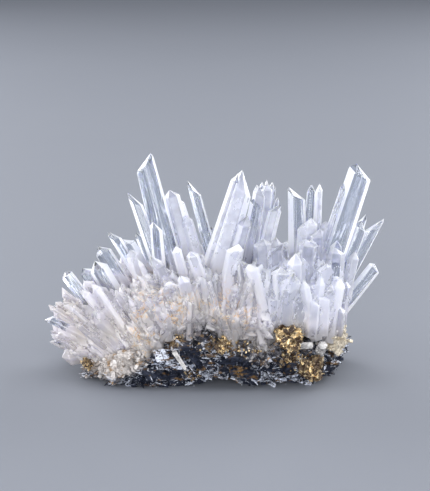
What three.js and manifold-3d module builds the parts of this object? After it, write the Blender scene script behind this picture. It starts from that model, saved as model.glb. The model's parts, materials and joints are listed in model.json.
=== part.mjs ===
// A quartz cluster: needles and points of clear and milky quartz that fan out from a slab of dark ore rock,
// with brassy pyrite grown along the join. Millimetres, +Z up. The origin is on the surface that the rock
// stands on, under the middle of the cluster; +X runs along the cluster and -Y is its front.

import * as THREE from "three";
import { mergeVertices } from "three/addons/utils/BufferGeometryUtils.js";
import { ImprovedNoise } from "three/addons/math/ImprovedNoise.js";
import Module from "manifold-3d";

const wasm = await Module();
wasm.setup();

// ---- Driving dimensions ----

const GAP = 0.3; // between two minerals that meet
const FINE = 0.03; // edges that matter less than this are left out

// The rock and the druse are slabs. Each has a squared oval plan, and its top and its sole are heights
// along x. The druse is the mass of quartz that all the points grow from.
const ROCK = {
  centre: [-0.5, 0.5],
  half: [30.5, 15],
  squareness: 3,
  top: [[-32, 3.5], [-24, 4.5], [-18, 7.5], [-13, 12], [-6, 15.5], [1, 15], [11, 9.5], [16, 12.5], [31, 12]],
  sole: [[-32, 3.5], [-19, -2.5], [-8, -2.5], [3.5, 2], [14, -2.5], [24, -2.5], [31, 0]],
  lump: 1.7,
  detail: 4,
};
const FLAKES = { count: 13, length: [9, 15], height: [3, 6], depth: [4, 6], inset: 2.8 };

const DRUSE = {
  centre: [-4, 0.5],
  half: [32.5, 12],
  squareness: 2.6,
  top: [[-37, 10], [-31, 14.5], [-24, 19], [-14, 23], [0, 24], [14, 23], [25, 21], [31, 17]],
  sole: [[-37, 4], [-30, 2.5], [-18, 5], [-8, 11], [3, 11], [11, 8], [20, 11], [31, 12]],
  lump: 1.8,
  detail: 3,
};

// Points cover the top of the druse. crest is how high they reach along x.
const POINTS = {
  count: 22,
  centre: [-3, 1.3],
  spread: [29.5, 12.5],
  width: [2.8, 4.8],
  bury: 4,
  rise: [0.45, 0.98],
  crest: [
    [-42, 12], [-34, 18], [-27, 23], [-20, 27.5], [-12, 31],
    [8, 33], [16, 30.5], [25, 32], [31, 24], [36, 19],
  ],
};
// How the points lean away from x and from the middle of the depth.
const FAN = { x: 4, reach: 33, lean: [0.55, 1.1], forwards: 0.8 };
// Short stubs stand in two rows round the edge of the druse, where it meets the rock, most of them in front.
const STUBS = {
  count: 22,
  infront: 0.8,
  centre: [-3.5, 0],
  half: [26, 11.8],
  width: [3.4, 5.2],
  length: [8, 11.5],
  rows: [0, 5],
  lowest: 6,
};

// The needles that stand out, from left to right: where each leaves the druse, its tip and its width. roll 0
// turns a face to the front and 30 an edge. apex is how far the tip is off the needle's axis.
const NEEDLES = [
  {
    foot: [-28.6, -7, 9], tip: [-40.3, -6, 14.6], width: 3.1,
    roll: 30, slope: 0.9, apex: [-0.7, 0], taper: 0.7,
  },
  { foot: [-31, -3, 7.5], tip: [-38.8, -4.5, 8.6], width: 2.2, roll: 10, slope: 2.2, taper: 0.7 },
  { foot: [-26, -3, 7], tip: [-36.6, -4.5, 4.6], width: 5.6, roll: 25, slope: 0.7 },
  { foot: [-30, -2, 10.5], tip: [-38.6, -2, 16.8], width: 2.4, slope: 1.8, taper: 0.6 },
  { foot: [-28.5, 0, 11], tip: [-36.6, 0.5, 17.3], width: 2.6, roll: 20, slope: 1.6, taper: 0.7 },
  {
    foot: [-22.6, -9.5, 10.3], tip: [-35.1, -6, 26.4], width: 3.4,
    roll: 30, slope: 0.55, apex: [0.1, 0], taper: 0.92,
  },
  { foot: [-21, -10, 10.5], tip: [-31, -9, 23], width: 2.6, roll: 10, slope: 1.5 },
  { foot: [-19.5, -10.5, 11.5], tip: [-28.5, -9, 24.4], width: 2.4, roll: 25, slope: 1.4 },
  { foot: [-22.4, -2, 12], tip: [-31.2, -1, 22.6], width: 3.8, roll: 10, slope: 0.8 },
  { foot: [-24, 2, 14], tip: [-31.7, 2, 24.8], width: 4.4, roll: 15, slope: 0.8, apex: [-0.3, 0] },
  { foot: [-21.5, 0, 14], tip: [-28.7, 1, 27], width: 5.2, slope: 0.9 },
  { foot: [-19.5, 3, 16], tip: [-28, 4, 29.7], width: 4.6, roll: 30, slope: 0.9, apex: [-0.2, 0] },
  {
    foot: [-14.5, 2, 15], tip: [-25.5, 3, 33.6], width: 3.6,
    roll: 20, slope: 1.5, apex: [-0.55, 0], taper: 0.72,
  },
  { foot: [-15.3, 0, 16], tip: [-20.2, 2, 29.6], width: 4.2, roll: 15, slope: 0.9 },
  { foot: [-13.2, 4, 16.2], tip: [-22.9, 6, 31], width: 5.2, slope: 0.8, apex: [-0.3, 0] },
  {
    foot: [-11.3, 2, 15.5], tip: [-20.7, 5, 42.7], width: 4.1,
    roll: 8, slope: 1.7, apex: [-0.75, 0], taper: 0.66,
  },
  { foot: [-13.8, 5, 18], tip: [-18.9, 6, 32.6], width: 2.6, roll: 12, slope: 1.3, apex: [-0.5, 0] },
  { foot: [-12.8, -3, 15], tip: [-14.6, -1, 37.2], width: 3.5, slope: 1.1, apex: [-0.35, 0] },
  {
    foot: [-6, 1, 15.2], tip: [-15.2, 4, 52.6], width: 7.6,
    roll: 30, slope: 0.8, apex: [0.7, 0], taper: 0.66,
  },
  {
    foot: [-4, 4, 16.2], tip: [-10.9, 7, 42.9], width: 5.4,
    roll: 10, slope: 0.8, apex: [-0.1, 0], taper: 0.68,
  },
  { foot: [-1.5, 3, 17], tip: [-7.2, 5.5, 37], width: 4, roll: 20, slope: 0.9 },
  { foot: [-2, 6, 18], tip: [-9.2, 8, 40.8], width: 3.2, slope: 1.2 },
  {
    foot: [1, 4, 16.2], tip: [-6.7, 8, 45.1], width: 3.7,
    roll: 25, slope: 1.9, apex: [-0.72, 0], taper: 0.72,
  },
  { foot: [0.7, 6, 20], tip: [-0.9, 8.5, 33.4], width: 2.8, roll: 30, slope: 1 },
  { foot: [-4.6, -5, 15], tip: [-9.2, -5, 32.4], width: 2.8, slope: 1 },
  {
    foot: [-2.9, -2, 16], tip: [6.4, 0, 49.5], width: 6.4,
    roll: 50, slope: 1.6, apex: [-0.45, 0], taper: 0.78,
  },
  { foot: [-5, -1, 16.5], tip: [5.3, -0.8, 48.6], width: 3.4, slope: 1.4, apex: [-0.2, 0], taper: 0.8 },
  {
    foot: [1.5, -3.5, 16], tip: [7.6, -2, 39], width: 4.6,
    roll: 20, slope: 1.2, apex: [0.1, 0], taper: 0.86,
  },
  { foot: [4.4, 0, 16], tip: [9.5, 3, 42], width: 4, roll: 10, slope: 0.9, apex: [-0.3, 0] },
  { foot: [6.6, 1, 15.9], tip: [10.4, 4, 44.6], width: 4.4, slope: 1, apex: [-0.3, 0], taper: 0.82 },
  {
    foot: [9.4, 2, 15.9], tip: [12.4, 4.6, 45], width: 4.6,
    roll: 12, slope: 0.7, apex: [0.1, 0], taper: 0.8,
  },
  {
    foot: [10.4, 3, 15.9], tip: [14.3, 6, 44.2], width: 3.4,
    roll: 24, slope: 1.2, apex: [0.55, 0], taper: 0.85,
  },
  { foot: [9.3, 0, 15.5], tip: [15.4, 3, 40.4], width: 3.6, slope: 0.9, apex: [0.75, 0], taper: 0.8 },
  {
    foot: [12.7, -1, 14], tip: [14.4, 0.6, 33], width: 5.8,
    roll: 8, slope: 0.9, apex: [0.2, 0], taper: 0.85,
  },
  { foot: [15.6, 1, 16], tip: [15.8, 2, 31.2], width: 4.4, roll: 20, slope: 0.8 },
  {
    foot: [18.5, 2, 16], tip: [17.5, 5, 44.2], width: 5.4,
    roll: 8, slope: 0.85, apex: [-0.9, 0], taper: 0.78,
  },
  { foot: [21.6, 3, 16.6], tip: [23, 6, 44.7], width: 3, roll: 20, slope: 1.8, taper: 0.74 },
  { foot: [24, 2, 16.9], tip: [24.8, 4, 45.2], width: 2.4, roll: 5, slope: 2, apex: [0.1, 0], taper: 0.7 },
  { foot: [21.7, -1, 15], tip: [22.8, 1, 37.6], width: 5.6, roll: 20, slope: 0.8, apex: [0.3, 0] },
  { foot: [24, 1, 16], tip: [26.4, 3, 36.3], width: 3.8, roll: 25, slope: 0.9 },
  { foot: [22.6, 1.5, 15], tip: [33.6, 5, 49.7], width: 7, slope: 0.62, apex: [-0.5, 0.1], taper: 0.85 },
  {
    foot: [21.1, 0, 15.5], tip: [30.6, 4, 45.3], width: 3.4,
    roll: 20, slope: 1.2, apex: [-0.5, 0], taper: 0.7,
  },
  { foot: [26.7, 1, 14], tip: [35, 4.5, 36], width: 4.2, roll: 5, slope: 1.2, apex: [-0.3, 0], taper: 0.75 },
  {
    foot: [29.2, 3, 13], tip: [36.2, 6, 37.2], width: 2.8,
    roll: 25, slope: 1.8, apex: [0.4, 0], taper: 0.72,
  },
  {
    foot: [29.4, 4, 15.2], tip: [40.6, 7, 35.8], width: 4.2,
    roll: 10, slope: 1.8, apex: [0.8, 0], taper: 0.72,
  },
  { foot: [28, 0, 13], tip: [38.2, 2, 26], width: 3.6, slope: 0.5, apex: [-0.3, 0], taper: 0.92 },
  { foot: [27, -2, 14], tip: [28.9, 0, 32.4], width: 3.6, roll: 10, slope: 1 },
  { foot: [27.2, -7.5, 13.2], tip: [28.2, -6.5, 29.9], width: 3.2, roll: 28, slope: 1.2 },
  { foot: [24.4, -7.5, 14.2], tip: [25.2, -6.5, 29.6], width: 3.2, roll: 5, slope: 1.4 },
  { foot: [29.4, -2, 12], tip: [33.2, -1, 30], width: 3, roll: 15, slope: 1.3 },
  { foot: [26.9, -9, 11.4], tip: [29.2, -8.5, 25.6], width: 3.2, slope: 1.4 },
  { foot: [23.6, -10.5, 12.4], tip: [20.4, -11, 26], width: 3, roll: 20, slope: 1.5 },
  { foot: [23.4, -10, 12.4], tip: [24.6, -10, 26.9], width: 2.8, roll: 30, slope: 1.8 },
  { foot: [18.6, -8, 14.7], tip: [18.7, -8, 31.6], width: 4.2, roll: 12, slope: 1.2 },
  {
    foot: [15.5, -9.5, 11.4], tip: [15.2, -10.5, 28.8], width: 6.2,
    roll: 5, slope: 0.6, apex: [-0.1, -0.4], taper: 0.9,
  },
  { foot: [12, -9, 14.6], tip: [7.7, -10.5, 29.7], width: 3.8, roll: 10, slope: 0.8, apex: [-0.3, 0] },
  { foot: [2, -7.5, 15.6], tip: [5.5, -7, 33.5], width: 4.2, slope: 0.8, apex: [0.3, 0], taper: 0.95 },
  { foot: [0.4, -7, 14], tip: [-5.8, -9.5, 32.4], width: 3.2, roll: 5, slope: 0.7, apex: [-0.2, 0] },
  { foot: [-5.2, -8.6, 21.2], tip: [-11.4, -12.5, 25.4], width: 2.2, roll: 25, slope: 0.6 },
  // These six stand at the back.
  { foot: [-24, 7, 11], tip: [-32, 10.5, 19.5], width: 4.6, roll: 20, slope: 0.9 },
  { foot: [-17, 8.5, 13], tip: [-23, 12.5, 25], width: 4.6, roll: 5, slope: 1.1 },
  { foot: [-6, 9, 16], tip: [-8, 14, 31], width: 4.8, roll: 15, slope: 0.9 },
  { foot: [5, 9, 16], tip: [7, 14, 30], width: 4.6, slope: 1.2 },
  { foot: [14, 8.5, 15], tip: [19, 13.5, 29], width: 4.8, roll: 25, slope: 0.8 },
  { foot: [22, 7, 14], tip: [29, 11.5, 26], width: 4.2, roll: 10, slope: 1.2 },
  // This one points down over the front of the rock.
  { foot: [10.6, -9.5, 14.5], tip: [11.9, -14.2, 9.4], width: 5.4, roll: 20, slope: 0.5, taper: 0.75 },
];

const PYRITE = {
  block_right: {
    centre: [17.2, -12.2, 11.6],
    half: [2.7, 2.2, 2],
    grains: 4,
    size: [2, 3.2],
    lid: [5.2, 3.6, 1.6],
  },
  crust_right: { centre: [28.2, -7, 10.2], half: [2.6, 2.6, 2.8], grains: 5, size: [2.2, 3.4] },
  crust_centre: { centre: [1.3, -13.2, 10.6], half: [2.9, 1.3, 1.5], grains: 5, size: [2, 3] },
  crust_low: { centre: [22.2, -12.6, 5], half: [3, 1.3, 2.4], grains: 4, size: [2, 3] },
  knob_left: { centre: [-29.8, -6.6, 4.4], half: [1.6, 1.6, 1], grains: 3, size: [1.9, 2.7] },
};
const TWIGS = [
  { foot: [28.6, -7.6, 11.2], tip: [29.8, -8.4, 13.3], width: 0.8 },
  { foot: [28.8, -7.6, 10.6], tip: [31.6, -8.2, 12], width: 0.8 },
  { foot: [28.8, -7.4, 10.2], tip: [32.6, -8, 9.8], width: 0.9 },
];

const NUB = {
  foot: [24.6, -9.5, 7.4], tip: [25.2, -13.2, 11.2], width: 2.6,
  roll: 10, slope: 0.7, taper: 0.85,
};
const STUB = {
  foot: [19.4, -13.2, 10.6], tip: [22.8, -14.4, 11.2], width: 1.6,
  roll: 20, slope: 0.3, taper: 0.95,
};
const SPLINTER = {
  foot: [-9.6, -14.2, 9.6], tip: [-6.6, -16.4, 5.6], width: 1.3,
  roll: 15, slope: 1.8, taper: 0.7,
};

// ---- Numbers and solids ----

const PRISM_SIDES = 6;
const GOLDEN_ANGLE = Math.PI * (3 - Math.sqrt(5));
const radians = THREE.MathUtils.degToRad;
const vector = ([x, y, z]) => new THREE.Vector3(x, y, z);
const noise = new ImprovedNoise();
const BUMP_SCALE = 0.17; // lumps per millimetre

// Seeded numbers from 0 to 1, the same in every run.
function randomFrom(seed) {
  let state = seed >>> 0;
  return () => {
    state = (state + 0x6d2b79f5) >>> 0;
    let t = state;
    t = Math.imul(t ^ (t >>> 15), t | 1);
    t ^= t + Math.imul(t ^ (t >>> 7), t | 61);
    return ((t ^ (t >>> 14)) >>> 0) / 4294967296;
  };
}

const between = (random, [low, high]) => low + (high - low) * random();

// The height of a profile of [x, z] points at x.
function heightAt(profile, x) {
  const next = Math.max(1, profile.findIndex((point) => point[0] > x));
  const [[x0, z0], [x1, z1]] = x >= profile.at(-1)[0] ? profile.slice(-2) : profile.slice(next - 1, next + 1);
  return z0 + ((z1 - z0) * THREE.MathUtils.clamp(x - x0, 0, x1 - x0)) / (x1 - x0);
}

function merge(geometry) {
  const bare = new THREE.BufferGeometry().setAttribute("position", geometry.getAttribute("position"));
  if (geometry.index) bare.setIndex(geometry.index);
  return mergeVertices(bare, 1e-4);
}

function solidOf(geometry) {
  const merged = merge(geometry);
  return new wasm.Manifold(
    new wasm.Mesh({
      numProp: 3,
      vertProperties: new Float32Array(merged.attributes.position.array),
      triVerts: new Uint32Array(merged.index.array),
    }),
  );
}

function geometryOf(solid) {
  const { numProp, numVert, vertProperties, triVerts } = solid.getMesh();
  const places = new Float32Array(numVert * 3);
  for (let i = 0; i < numVert; i++) {
    places.set(vertProperties.subarray(i * numProp, i * numProp + 3), i * 3);
  }
  const geometry = new THREE.BufferGeometry()
    .setAttribute("position", new THREE.BufferAttribute(places, 3))
    .setIndex(new THREE.BufferAttribute(triVerts, 1));
  const flat = geometry.toNonIndexed();
  flat.computeVertexNormals();
  return flat;
}

const joined = (solids) => wasm.Manifold.union(solids);

// The largest of the bodies that a cut leaves, without the slivers and the needless edges.
function mainBody(solid, fine = FINE) {
  const bodies = solid.simplify(fine).decompose();
  return bodies.reduce((most, body) => (body.volume() > most.volume() ? body : most));
}

// ---- One crystal, one lump and one block ----

// A six-sided prism whose end faces slope up to its tip. apex is how far the tip is off the prism's axis,
// sideways and back, as a share of the half width, and slope is how steeply the end faces rise. grow adds
// that much all round, and bury carries the foot back into what the crystal grows from.
function crystal(
  { foot, tip, width, roll = 0, taper = 0.86, slope = 1.3, apex = [0, 0], wear = 0.1 },
  { grow = 0, bury = 0, seed = 1 } = {},
) {
  const random = randomFrom(seed * 977 + 13);
  const axis = vector(tip).sub(vector(foot)).normalize();
  const front = new THREE.Vector3(0, -1, 0.001).addScaledVector(axis, axis.y).normalize();
  const side = axis.clone().cross(front).normalize();
  const back = axis.clone().cross(side);

  const half = width / 2 + grow;
  const point = [apex[0] * half * taper, apex[1] * half * taper];
  const from = vector(foot).addScaledVector(side, -point[0]).addScaledVector(back, -point[1]);
  from.addScaledVector(axis, -grow - bury);
  const length = vector(tip).sub(vector(foot)).length() + 2 * grow + bury;
  const corners = [];
  for (let k = 0; k < PRISM_SIDES; k++) {
    const angle = radians(roll + (360 / PRISM_SIDES) * k);
    const reach = half * (1 + wear * (2 * random() - 1));
    corners.push([reach * Math.cos(angle), reach * Math.sin(angle)]);
  }
  const places = corners.flatMap(([x, y]) => [x, y, 0]);
  for (const [x, y] of corners) {
    const run = Math.hypot(x * taper - point[0], y * taper - point[1]);
    const height = Math.max(0.25 * length, length - slope * run - 0.05);
    const narrowing = 1 - ((1 - taper) * height) / length;
    places.push(x * narrowing, y * narrowing, height);
  }
  places.push(...point, length);

  const faces = [];
  for (let k = 0; k < PRISM_SIDES; k++) {
    const next = (k + 1) % PRISM_SIDES;
    const [low, lowNext, high, highNext] = [k, next, PRISM_SIDES + k, PRISM_SIDES + next];
    faces.push(low, lowNext, highNext, low, highNext, high, high, highNext, 2 * PRISM_SIDES);
    if (k > 0 && k < PRISM_SIDES - 1) faces.push(0, next, k);
  }
  const geometry = new THREE.BufferGeometry()
    .setAttribute("position", new THREE.Float32BufferAttribute(places, 3))
    .setIndex(faces);
  const basis = new THREE.Matrix4().makeBasis(side, back, axis).setPosition(from);
  return solidOf(geometry.applyMatrix4(basis));
}

// A closed lump with flat facets: place turns each direction from its middle into a point of the surface.
function lump(detail, place, grow = 0) {
  const geometry = merge(new THREE.IcosahedronGeometry(1, detail));
  const spots = geometry.attributes.position;
  for (let i = 0; i < spots.count; i++) {
    spots.setXYZ(i, ...place(spots.getX(i), spots.getY(i), spots.getZ(i)));
  }
  geometry.computeVertexNormals();
  const normals = geometry.attributes.normal;
  for (let i = 0; i < spots.count; i++) {
    spots.setXYZ(
      i,
      spots.getX(i) + grow * normals.getX(i),
      spots.getY(i) + grow * normals.getY(i),
      spots.getZ(i) + grow * normals.getZ(i),
    );
  }
  return solidOf(geometry);
}

// Noise from -1.5 to 1.5, with half as much again at a finer scale.
function bumps(...spot) {
  const [x, y, z] = spot.map((v) => v * BUMP_SCALE);
  return noise.noise(x, y, z + 7.3) + 0.5 * noise.noise(2.3 * x, 2.3 * y, 2.3 * z);
}

// A slab with a squared oval plan between its top and its sole, lumpy all over.
function slab({ centre, half, squareness, top, sole, lump: rough, detail }, grow = 0) {
  const place = (x, y, z) => {
    const sum = Math.abs(x) ** squareness + Math.abs(y) ** squareness + Math.abs(z) ** squareness;
    const reach = sum ** (-1 / squareness);
    const across = centre[0] + half[0] * x * reach;
    const deep = centre[1] + half[1] * y * reach;
    const [high, low] = [heightAt(top, across), heightAt(sole, across)];
    const level = (high + low) / 2 + ((high - low) / 2) * z * reach;
    const bump = rough * bumps(across, deep, level);
    return [across + bump * x * reach, deep + bump * y * reach, level + bump * z * reach];
  };
  return lump(detail, place, grow);
}

// A box with its corners knocked about, turned by three angles.
function block(centre, size, turn, random, grow = 0) {
  const geometry = merge(new THREE.BoxGeometry(1, 1, 1));
  const spots = geometry.attributes.position;
  for (let i = 0; i < spots.count; i++) {
    const corner = [spots.getX(i), spots.getY(i), spots.getZ(i)];
    spots.setXYZ(i, ...corner.map((c, axis) => c * (size[axis] * (0.8 + 0.4 * random()) + 2 * grow)));
  }
  const rotation = new THREE.Euler(...turn.map(radians));
  geometry.applyMatrix4(new THREE.Matrix4().makeRotationFromEuler(rotation).setPosition(...centre));
  return solidOf(geometry);
}

// ---- The rock ----

// Flakes lie along the sides of the slab like the broken edges of its layers.
function rockFlakes(grow) {
  const random = randomFrom(5);
  const flakes = [];
  for (let i = 0; i < FLAKES.count; i++) {
    const angle = 2 * Math.PI * ((i + 0.6 * random()) / FLAKES.count);
    const [x, y] = [Math.cos(angle), Math.sin(angle)];
    const reach = (Math.abs(x) ** ROCK.squareness + Math.abs(y) ** ROCK.squareness) ** (-1 / ROCK.squareness);
    const across = ROCK.centre[0] + (ROCK.half[0] - FLAKES.inset - 1.5 * Math.abs(x)) * x * reach;
    const deep = ROCK.centre[1] + (ROCK.half[1] - FLAKES.inset) * y * reach;
    const size = [FLAKES.length, FLAKES.depth, FLAKES.height].map((range) => between(random, range));
    const low = Math.max(0.5, heightAt(ROCK.sole, across)) + 0.7 * size[2];
    const level = low + Math.max(0, heightAt(ROCK.top, across) - low - 0.6 * size[2]) * random();
    const along = (Math.atan2(y * ROCK.half[0], x * ROCK.half[1]) * 180) / Math.PI + 90;
    const turn = [between(random, [-28, 18]), between(random, [-22, 22]), along + between(random, [-16, 16])];
    flakes.push(block([across, deep, level], size, turn, random, grow));
  }
  return flakes;
}

function rock(grow = 0) {
  return joined([slab(ROCK, grow), ...rockFlakes(grow)]);
}

// ---- The pyrite ----

function pyrite(name, grow = 0) {
  const { centre, half, grains, size, lid } = PYRITE[name];
  const random = randomFrom(name.length * 31 + 3);
  const blocks = [block(centre, half.map((h) => 1.5 * h), [8, 12, 10], random, grow)];
  for (let i = 0; i < grains; i++) {
    const level = 1 - (2 * (i + 0.5)) / grains;
    const around = GOLDEN_ANGLE * i;
    const ring = Math.sqrt(1 - level * level);
    const away = [ring * Math.cos(around), ring * Math.sin(around), level];
    const spot = centre.map((c, axis) => c + 0.78 * half[axis] * away[axis]);
    const edge = between(random, size);
    const turn = [between(random, [0, 90]), between(random, [0, 90]), between(random, [0, 90])];
    blocks.push(block(spot, [edge, edge, edge * 0.9], turn, random, grow));
  }
  if (lid) {
    const top = [centre[0], centre[1], centre[2] + half[2]];
    blocks.push(block(top, lid, [14, 8, -6], random, grow));
  }
  if (name === "crust_right") {
    TWIGS.forEach((twig, i) => blocks.push(crystal(twig, { grow, seed: 70 + i })));
  }
  return joined(blocks);
}

// ---- The quartz ----

// Points that cover the druse evenly. Each leans away from the middle of the cluster.
function drusePoints() {
  const random = randomFrom(11);
  const points = [];
  for (let i = 0; i < POINTS.count; i++) {
    const ring = Math.sqrt((i + 0.5) / POINTS.count);
    const angle = i * GOLDEN_ANGLE;
    const x = POINTS.centre[0] + POINTS.spread[0] * ring * Math.cos(angle);
    const y = POINTS.centre[1] + POINTS.spread[1] * ring * Math.sin(angle);
    const away = (x - FAN.x) / FAN.reach;
    const lean = new THREE.Vector3(
      away * (FAN.lean[0] + FAN.lean[1] * away * away) + between(random, [-0.12, 0.12]),
      (FAN.forwards * y) / POINTS.spread[1] + between(random, [-0.1, 0.1]),
      1,
    ).normalize();
    const [high, low] = [heightAt(DRUSE.top, x), heightAt(DRUSE.sole, x)];
    const level = high - 2 - 0.5 * (high - low) * ring ** 3;
    const foot = [x, y, level];
    const crest = heightAt(POINTS.crest, x + lean.x * 6) - 0.287 * y;
    const rise = (crest - level) * between(random, POINTS.rise) * (1 - 0.3 * ring ** 3);
    const length = Math.max(4.5, rise / Math.max(lean.z, 0.6));
    const tip = foot.map((c, axis) => c + lean.getComponent(axis) * length);
    const width = between(random, POINTS.width);
    const roll = between(random, [0, 60]);
    const slope = between(random, [0.9, 1.9]);
    const apex = [between(random, [-0.4, 0.4]), between(random, [-0.4, 0.4])];
    points.push(crystal({ foot, tip, width, roll, slope, apex }, { bury: POINTS.bury, seed: i + 100 }));
  }
  return points;
}

// Short stubs round the edge of the druse, in a low row and a high one behind it.
function edgeStubs() {
  const random = randomFrom(29);
  const stubs = [];
  for (let i = 0; i < STUBS.count; i++) {
    const share = (i + 0.4 * random()) / STUBS.count;
    const inFront = share < STUBS.infront;
    const turn = inFront ? 1 + share / STUBS.infront : (share - STUBS.infront) / (1 - STUBS.infront);
    const [across, deep] = [Math.cos(Math.PI * turn), Math.sin(Math.PI * turn)];
    const inset = i % 2 ? 0.86 : 1;
    const x = STUBS.centre[0] + STUBS.half[0] * inset * across;
    const y = STUBS.centre[1] + STUBS.half[1] * inset * deep;
    const away = (x - FAN.x) / FAN.reach;
    const lean = new THREE.Vector3(
      away * (FAN.lean[0] + FAN.lean[1] * away * away) + between(random, [-0.25, 0.25]),
      0.42 * deep + between(random, [-0.15, 0.1]),
      1,
    ).normalize();
    const level = Math.max(STUBS.lowest, heightAt(ROCK.top, x)) + STUBS.rows[i % 2];
    const foot = [x, y, level - between(random, [0.5, 2.5])];
    const length = between(random, STUBS.length);
    const tip = foot.map((c, axis) => c + lean.getComponent(axis) * length);
    const width = between(random, STUBS.width);
    const roll = between(random, [0, 60]);
    const slope = between(random, [0.6, 1.3]);
    stubs.push(crystal({ foot, tip, width, roll, slope, apex: [0.3, -0.2] }, { seed: i + 300 }));
  }
  return stubs;
}

function needles() {
  return NEEDLES.map((needle, i) => crystal(needle, { bury: 5, seed: i + 1 }));
}

// ---- The parts, each with its own material ----

const ABOVE_TABLE = solidOf(new THREE.BoxGeometry(200, 200, 100).translate(0, 0, 50));

const matrixRock = mainBody(rock().intersect(ABOVE_TABLE));
const rockAndGap = rock(2.2 * GAP).simplify(1.2 * GAP);

const pyriteNames = Object.keys(PYRITE);
const pyrites = pyriteNames.map((name) => mainBody(pyrite(name).subtract(rockAndGap).intersect(ABOVE_TABLE)));
const loose = [NUB, STUB, SPLINTER];
const looseNames = ["quartz_nub_right", "quartz_stub_right", "quartz_splinter_front"];
const pyriteAndGap = joined(pyriteNames.map((name) => pyrite(name, GAP)));
const looseSolids = loose.map((shape, i) => {
  const whole = crystal(shape, { seed: 50 + i });
  return mainBody(whole.subtract(rockAndGap).subtract(pyriteAndGap));
});
const looseAndGap = joined(loose.map((shape, i) => crystal(shape, { grow: GAP, seed: 50 + i })));
const quartz = mainBody(
  joined([slab(DRUSE), ...drusePoints(), ...edgeStubs(), ...needles()])
    .subtract(rockAndGap)
    .subtract(pyriteAndGap)
    .subtract(looseAndGap)
    .intersect(ABOVE_TABLE),
);

function paint(color, roughness, metalness) {
  return new THREE.MeshStandardMaterial({ color, roughness, metalness });
}

function piece(name, solid, material) {
  const mesh = new THREE.Mesh(geometryOf(solid), material);
  mesh.name = name;
  return mesh;
}

const cluster = new THREE.Group();
cluster.name = "quartz_cluster";
cluster.add(piece("quartz_crystals", quartz, paint(0xdde3f0, 0.12, 0)));
cluster.add(piece("matrix_rock", matrixRock, paint(0x2b2f3b, 0.55, 0.4)));
pyrites.forEach((solid, i) => {
  cluster.add(piece(`pyrite_${pyriteNames[i]}`, solid, paint(0xb98a3e, 0.35, 0.9)));
});
looseSolids.forEach((solid, i) => {
  cluster.add(piece(looseNames[i], solid, paint(0xe3e6ee, 0.2, 0)));
});

export default cluster;
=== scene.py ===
"""A quartz cluster in a plain studio: needles of clear and milky quartz on dark ore rock, with pyrite.

Sizes are in millimetres and become metres when a mesh is made. +X runs along the cluster, -Y is its front.
"""

import json
import math
from functools import partialmethod
from typing import NamedTuple

import bmesh
import bpy
import numpy as np
from mathutils import Matrix, Vector, noise
from mathutils.kdtree import KDTree

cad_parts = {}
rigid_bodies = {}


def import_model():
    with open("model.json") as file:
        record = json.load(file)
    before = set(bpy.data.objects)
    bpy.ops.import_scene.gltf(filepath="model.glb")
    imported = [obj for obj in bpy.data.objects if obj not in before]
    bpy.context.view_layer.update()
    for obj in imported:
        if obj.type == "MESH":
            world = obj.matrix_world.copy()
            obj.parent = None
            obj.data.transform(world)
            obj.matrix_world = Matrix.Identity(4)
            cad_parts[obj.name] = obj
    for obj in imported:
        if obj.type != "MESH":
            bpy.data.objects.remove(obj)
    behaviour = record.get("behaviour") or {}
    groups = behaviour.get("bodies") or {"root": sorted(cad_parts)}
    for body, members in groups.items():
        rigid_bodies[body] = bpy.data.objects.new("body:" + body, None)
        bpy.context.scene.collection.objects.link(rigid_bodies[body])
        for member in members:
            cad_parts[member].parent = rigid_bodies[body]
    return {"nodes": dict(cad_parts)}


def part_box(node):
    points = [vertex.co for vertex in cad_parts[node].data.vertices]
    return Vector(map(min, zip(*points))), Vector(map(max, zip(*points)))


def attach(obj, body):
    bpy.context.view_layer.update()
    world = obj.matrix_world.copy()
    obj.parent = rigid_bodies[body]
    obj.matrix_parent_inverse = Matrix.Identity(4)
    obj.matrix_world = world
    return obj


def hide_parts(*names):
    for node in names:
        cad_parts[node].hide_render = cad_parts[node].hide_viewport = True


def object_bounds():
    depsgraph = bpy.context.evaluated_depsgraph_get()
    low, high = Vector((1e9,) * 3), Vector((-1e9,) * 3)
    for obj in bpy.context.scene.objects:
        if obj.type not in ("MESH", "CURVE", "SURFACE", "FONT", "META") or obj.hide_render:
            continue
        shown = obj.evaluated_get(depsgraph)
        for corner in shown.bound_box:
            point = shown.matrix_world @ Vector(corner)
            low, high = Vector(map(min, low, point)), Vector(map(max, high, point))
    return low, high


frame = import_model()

CAD_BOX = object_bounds()
MM = 0.001
LOW, HIGH = (corner / MM for corner in CAD_BOX)

# ---- Driving dimensions of the quartz, the same as the solids' ----

DRUSE = {
    "centre": (-4, 0.5), "half": (32.5, 12), "squareness": 2.6, "lump": 1.8,
    "top": ((-37, 10), (-31, 14.5), (-24, 19), (-14, 23), (0, 24), (14, 23), (25, 21), (31, 17)),
    "sole": ((-37, 4), (-30, 2.5), (-18, 5), (-8, 11), (3, 11), (11, 8), (20, 11), (31, 12)),
}
ROCK_TOP = (
    (-32, 3.5), (-24, 4.5), (-18, 7.5), (-13, 12), (-6, 15.5), (1, 15), (11, 9.5), (16, 12.5), (31, 12),
)
POINTS = {
    "count": 22, "centre": (-3, 1.3), "spread": (29.5, 12.5),
    "width": (2.8, 4.8), "rise": (0.45, 0.98), "shortest": 4.5, "astray": (0.12, 0.1),
    "crest": (
        (-42, 12), (-34, 18), (-27, 23), (-20, 27.5), (-12, 31),
        (8, 33), (16, 30.5), (25, 32), (31, 24), (36, 19),
    ),
}
FAN = {"x": 4, "reach": 33, "lean": (0.55, 1.1), "forwards": 0.8}
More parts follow.
